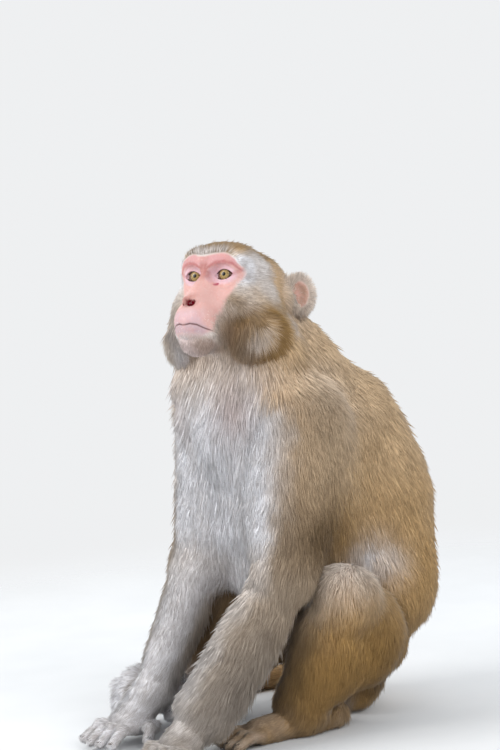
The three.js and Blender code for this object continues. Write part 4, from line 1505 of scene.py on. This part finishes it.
def lid_rim_material():
    """Dark wet skin with fine blotches."""
    material, sheet = new_material("lid_rim")
    blotch = sheet.ramp(sheet.grain(700, 3), 0.35, 0.65)
    colour = sheet.mix(blotch, (0.035, 0.016, 0.012), (0.09, 0.04, 0.03))
    sheet.surface(Base_Color=colour, Roughness=0.35)
    return material


def nail_material():
    """Dark horn with fine ridges along it."""
    material, sheet = new_material("nail")
    streak = sheet.grain(500, 3, (1.0, 0.12, 0.3))
    colour = sheet.mix(sheet.ramp(streak, 0.35, 0.7), (0.035, 0.026, 0.02), (0.12, 0.09, 0.07))
    bump = sheet.bump(streak, 0.3, 0.0003)
    sheet.surface(Base_Color=colour, Roughness=0.38, Normal=bump)
    return material


# ---------------------------------------------------------------- camera, floor and light

# degrees, then the way to the seat, the lens, and how far left and up of the seat the middle of the view
# lies, in millimetres
CAMERA = dict(azimuth=52, elevation=4.5, roll=4, away=2200, lens=101.376, across=104.1667, up=344.7917)


def place_camera():
    """A long lens turned to the animal's left front, a little above it, with the seat low in the frame."""
    a, e, r = np.radians([CAMERA["azimuth"], CAMERA["elevation"], CAMERA["roll"]])
    right = vec(math.cos(a), math.sin(a), 0)
    ahead = vec(-math.sin(a) * math.cos(e), math.cos(a) * math.cos(e), -math.sin(e))
    up = np.cross(right, ahead)
    right, up = right * math.cos(r) - up * math.sin(r), right * math.sin(r) + up * math.cos(r)
    eye = CAMERA["up"] * up - CAMERA["across"] * right - CAMERA["away"] * ahead
    data = bpy.data.cameras.new("camera")
    data.sensor_width = 36
    data.lens = CAMERA["lens"]
    camera = bpy.data.objects.new("camera", data)
    bpy.context.scene.collection.objects.link(camera)
    turn = Matrix([list(row) for row in np.column_stack([right, up, -ahead])])
    camera.matrix_world = Matrix.Translation(eye * MM) @ turn.to_4x4()
    bpy.context.scene.camera = camera


def add_lamp(name, at, size, power, colour=(1, 1, 1), aim=(0, -0.06, 0.25)):
    """A square soft box that faces the animal. Places in metres."""
    data = bpy.data.lights.new(name, "AREA")
    data.size, data.energy, data.color = size, power, colour
    lamp = bpy.data.objects.new(name, data)
    bpy.context.scene.collection.objects.link(lamp)
    away = Matrix.Translation(at).translation - Matrix.Translation(aim).translation
    lamp.matrix_world = Matrix.Translation(at) @ away.to_track_quat("Z", "Y").to_matrix().to_4x4()


def make_stage():
    """A pale floor under a pale world. To the camera, in gloss and through glass the world is a plain
    off-white, and the floor, which keeps the shadow, fades into it."""
    world = bpy.data.worlds.new("studio")
    world.use_nodes = True
    bpy.context.scene.world = world
    world.node_tree.nodes.clear()
    sheet = Sheet(world.node_tree)
    path = sheet.add("ShaderNodeLightPath", out=None)
    seen = sheet.math("MAXIMUM", path.outputs["Is Camera Ray"], path.outputs["Is Glossy Ray"])
    seen = sheet.math("MAXIMUM", seen, path.outputs["Is Transmission Ray"])
    light = sheet.add("ShaderNodeBackground", {"Color": (0.92, 0.96, 1.0, 1), "Strength": 0.9})
    shown = sheet.add("ShaderNodeBackground", {"Color": (0.86, 0.87, 0.88, 1), "Strength": 1.0})
    both = sheet.add("ShaderNodeMixShader", {0: seen, 1: light, 2: shown})
    sheet.add("ShaderNodeOutputWorld", {"Surface": both}, None)

    turn = around(64)
    radius = np.array([0.0, 300, 700, 1400])
    floor = np.stack([radius[:, None] * np.cos(turn), radius[:, None] * np.sin(turn),
                      np.zeros((len(radius), 64))], -1)
    material, sheet = new_material("floor")
    colour = sheet.mix(sheet.ramp(sheet.grain(6, 3), 0.3, 0.7), (0.70, 0.71, 0.72), (0.74, 0.75, 0.76))
    place = sheet.add("ShaderNodeTexCoord", out="Object")
    away = sheet.add("ShaderNodeVectorMath", {0: place}, "Value", operation="LENGTH")
    sheet.surface(Base_Color=colour, Roughness=0.85, Alpha=sheet.ramp(away, 1.3, 0.45))
    obj = put_mesh("floor", floor.reshape(-1, 3), grid_faces(len(radius), 64), material)

    add_lamp("key", (-0.7, -1.9, 1.7), 1.3, 33, (1.0, 0.985, 0.96))
    add_lamp("near_side", (2.2, 0.1, 1.7), 1.5, 25, (1.0, 0.99, 0.98))
    add_lamp("far_side", (-2.0, 0.8, 1.5), 1.6, 12)
    bpy.context.scene.view_settings.view_transform = "Standard"


# ---------------------------------------------------------------- the animal

place_camera()
make_stage()
MARKINGS, MOTTLE = markings_group(), mottle_group()
FUR, EYE, RIM, NAIL = coat_material(MARKINGS), eye_material(), lid_rim_material(), nail_material()

skin = make_skin()
skin.data.materials.clear()
skin.data.materials.append(skin_material(MARKINGS, MOTTLE))
pieces = [(skin, "skin")]
pieces += [(piece, "coat") for piece in grow_coat(skin, FUR)]
for side in SIDES:
    eyeball = make_eye(side, EYE)
    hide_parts(f"eye_{side}")
    pieces += [(eyeball, "eye"), (make_lid_rim(side, RIM), "skin")]
pieces.append((make_nails("nails", DIGIT_TIPS, NAIL), "nail"))
for piece, slot in pieces:
    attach(piece, "root")
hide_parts(*[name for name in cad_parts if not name.startswith("eye_")])
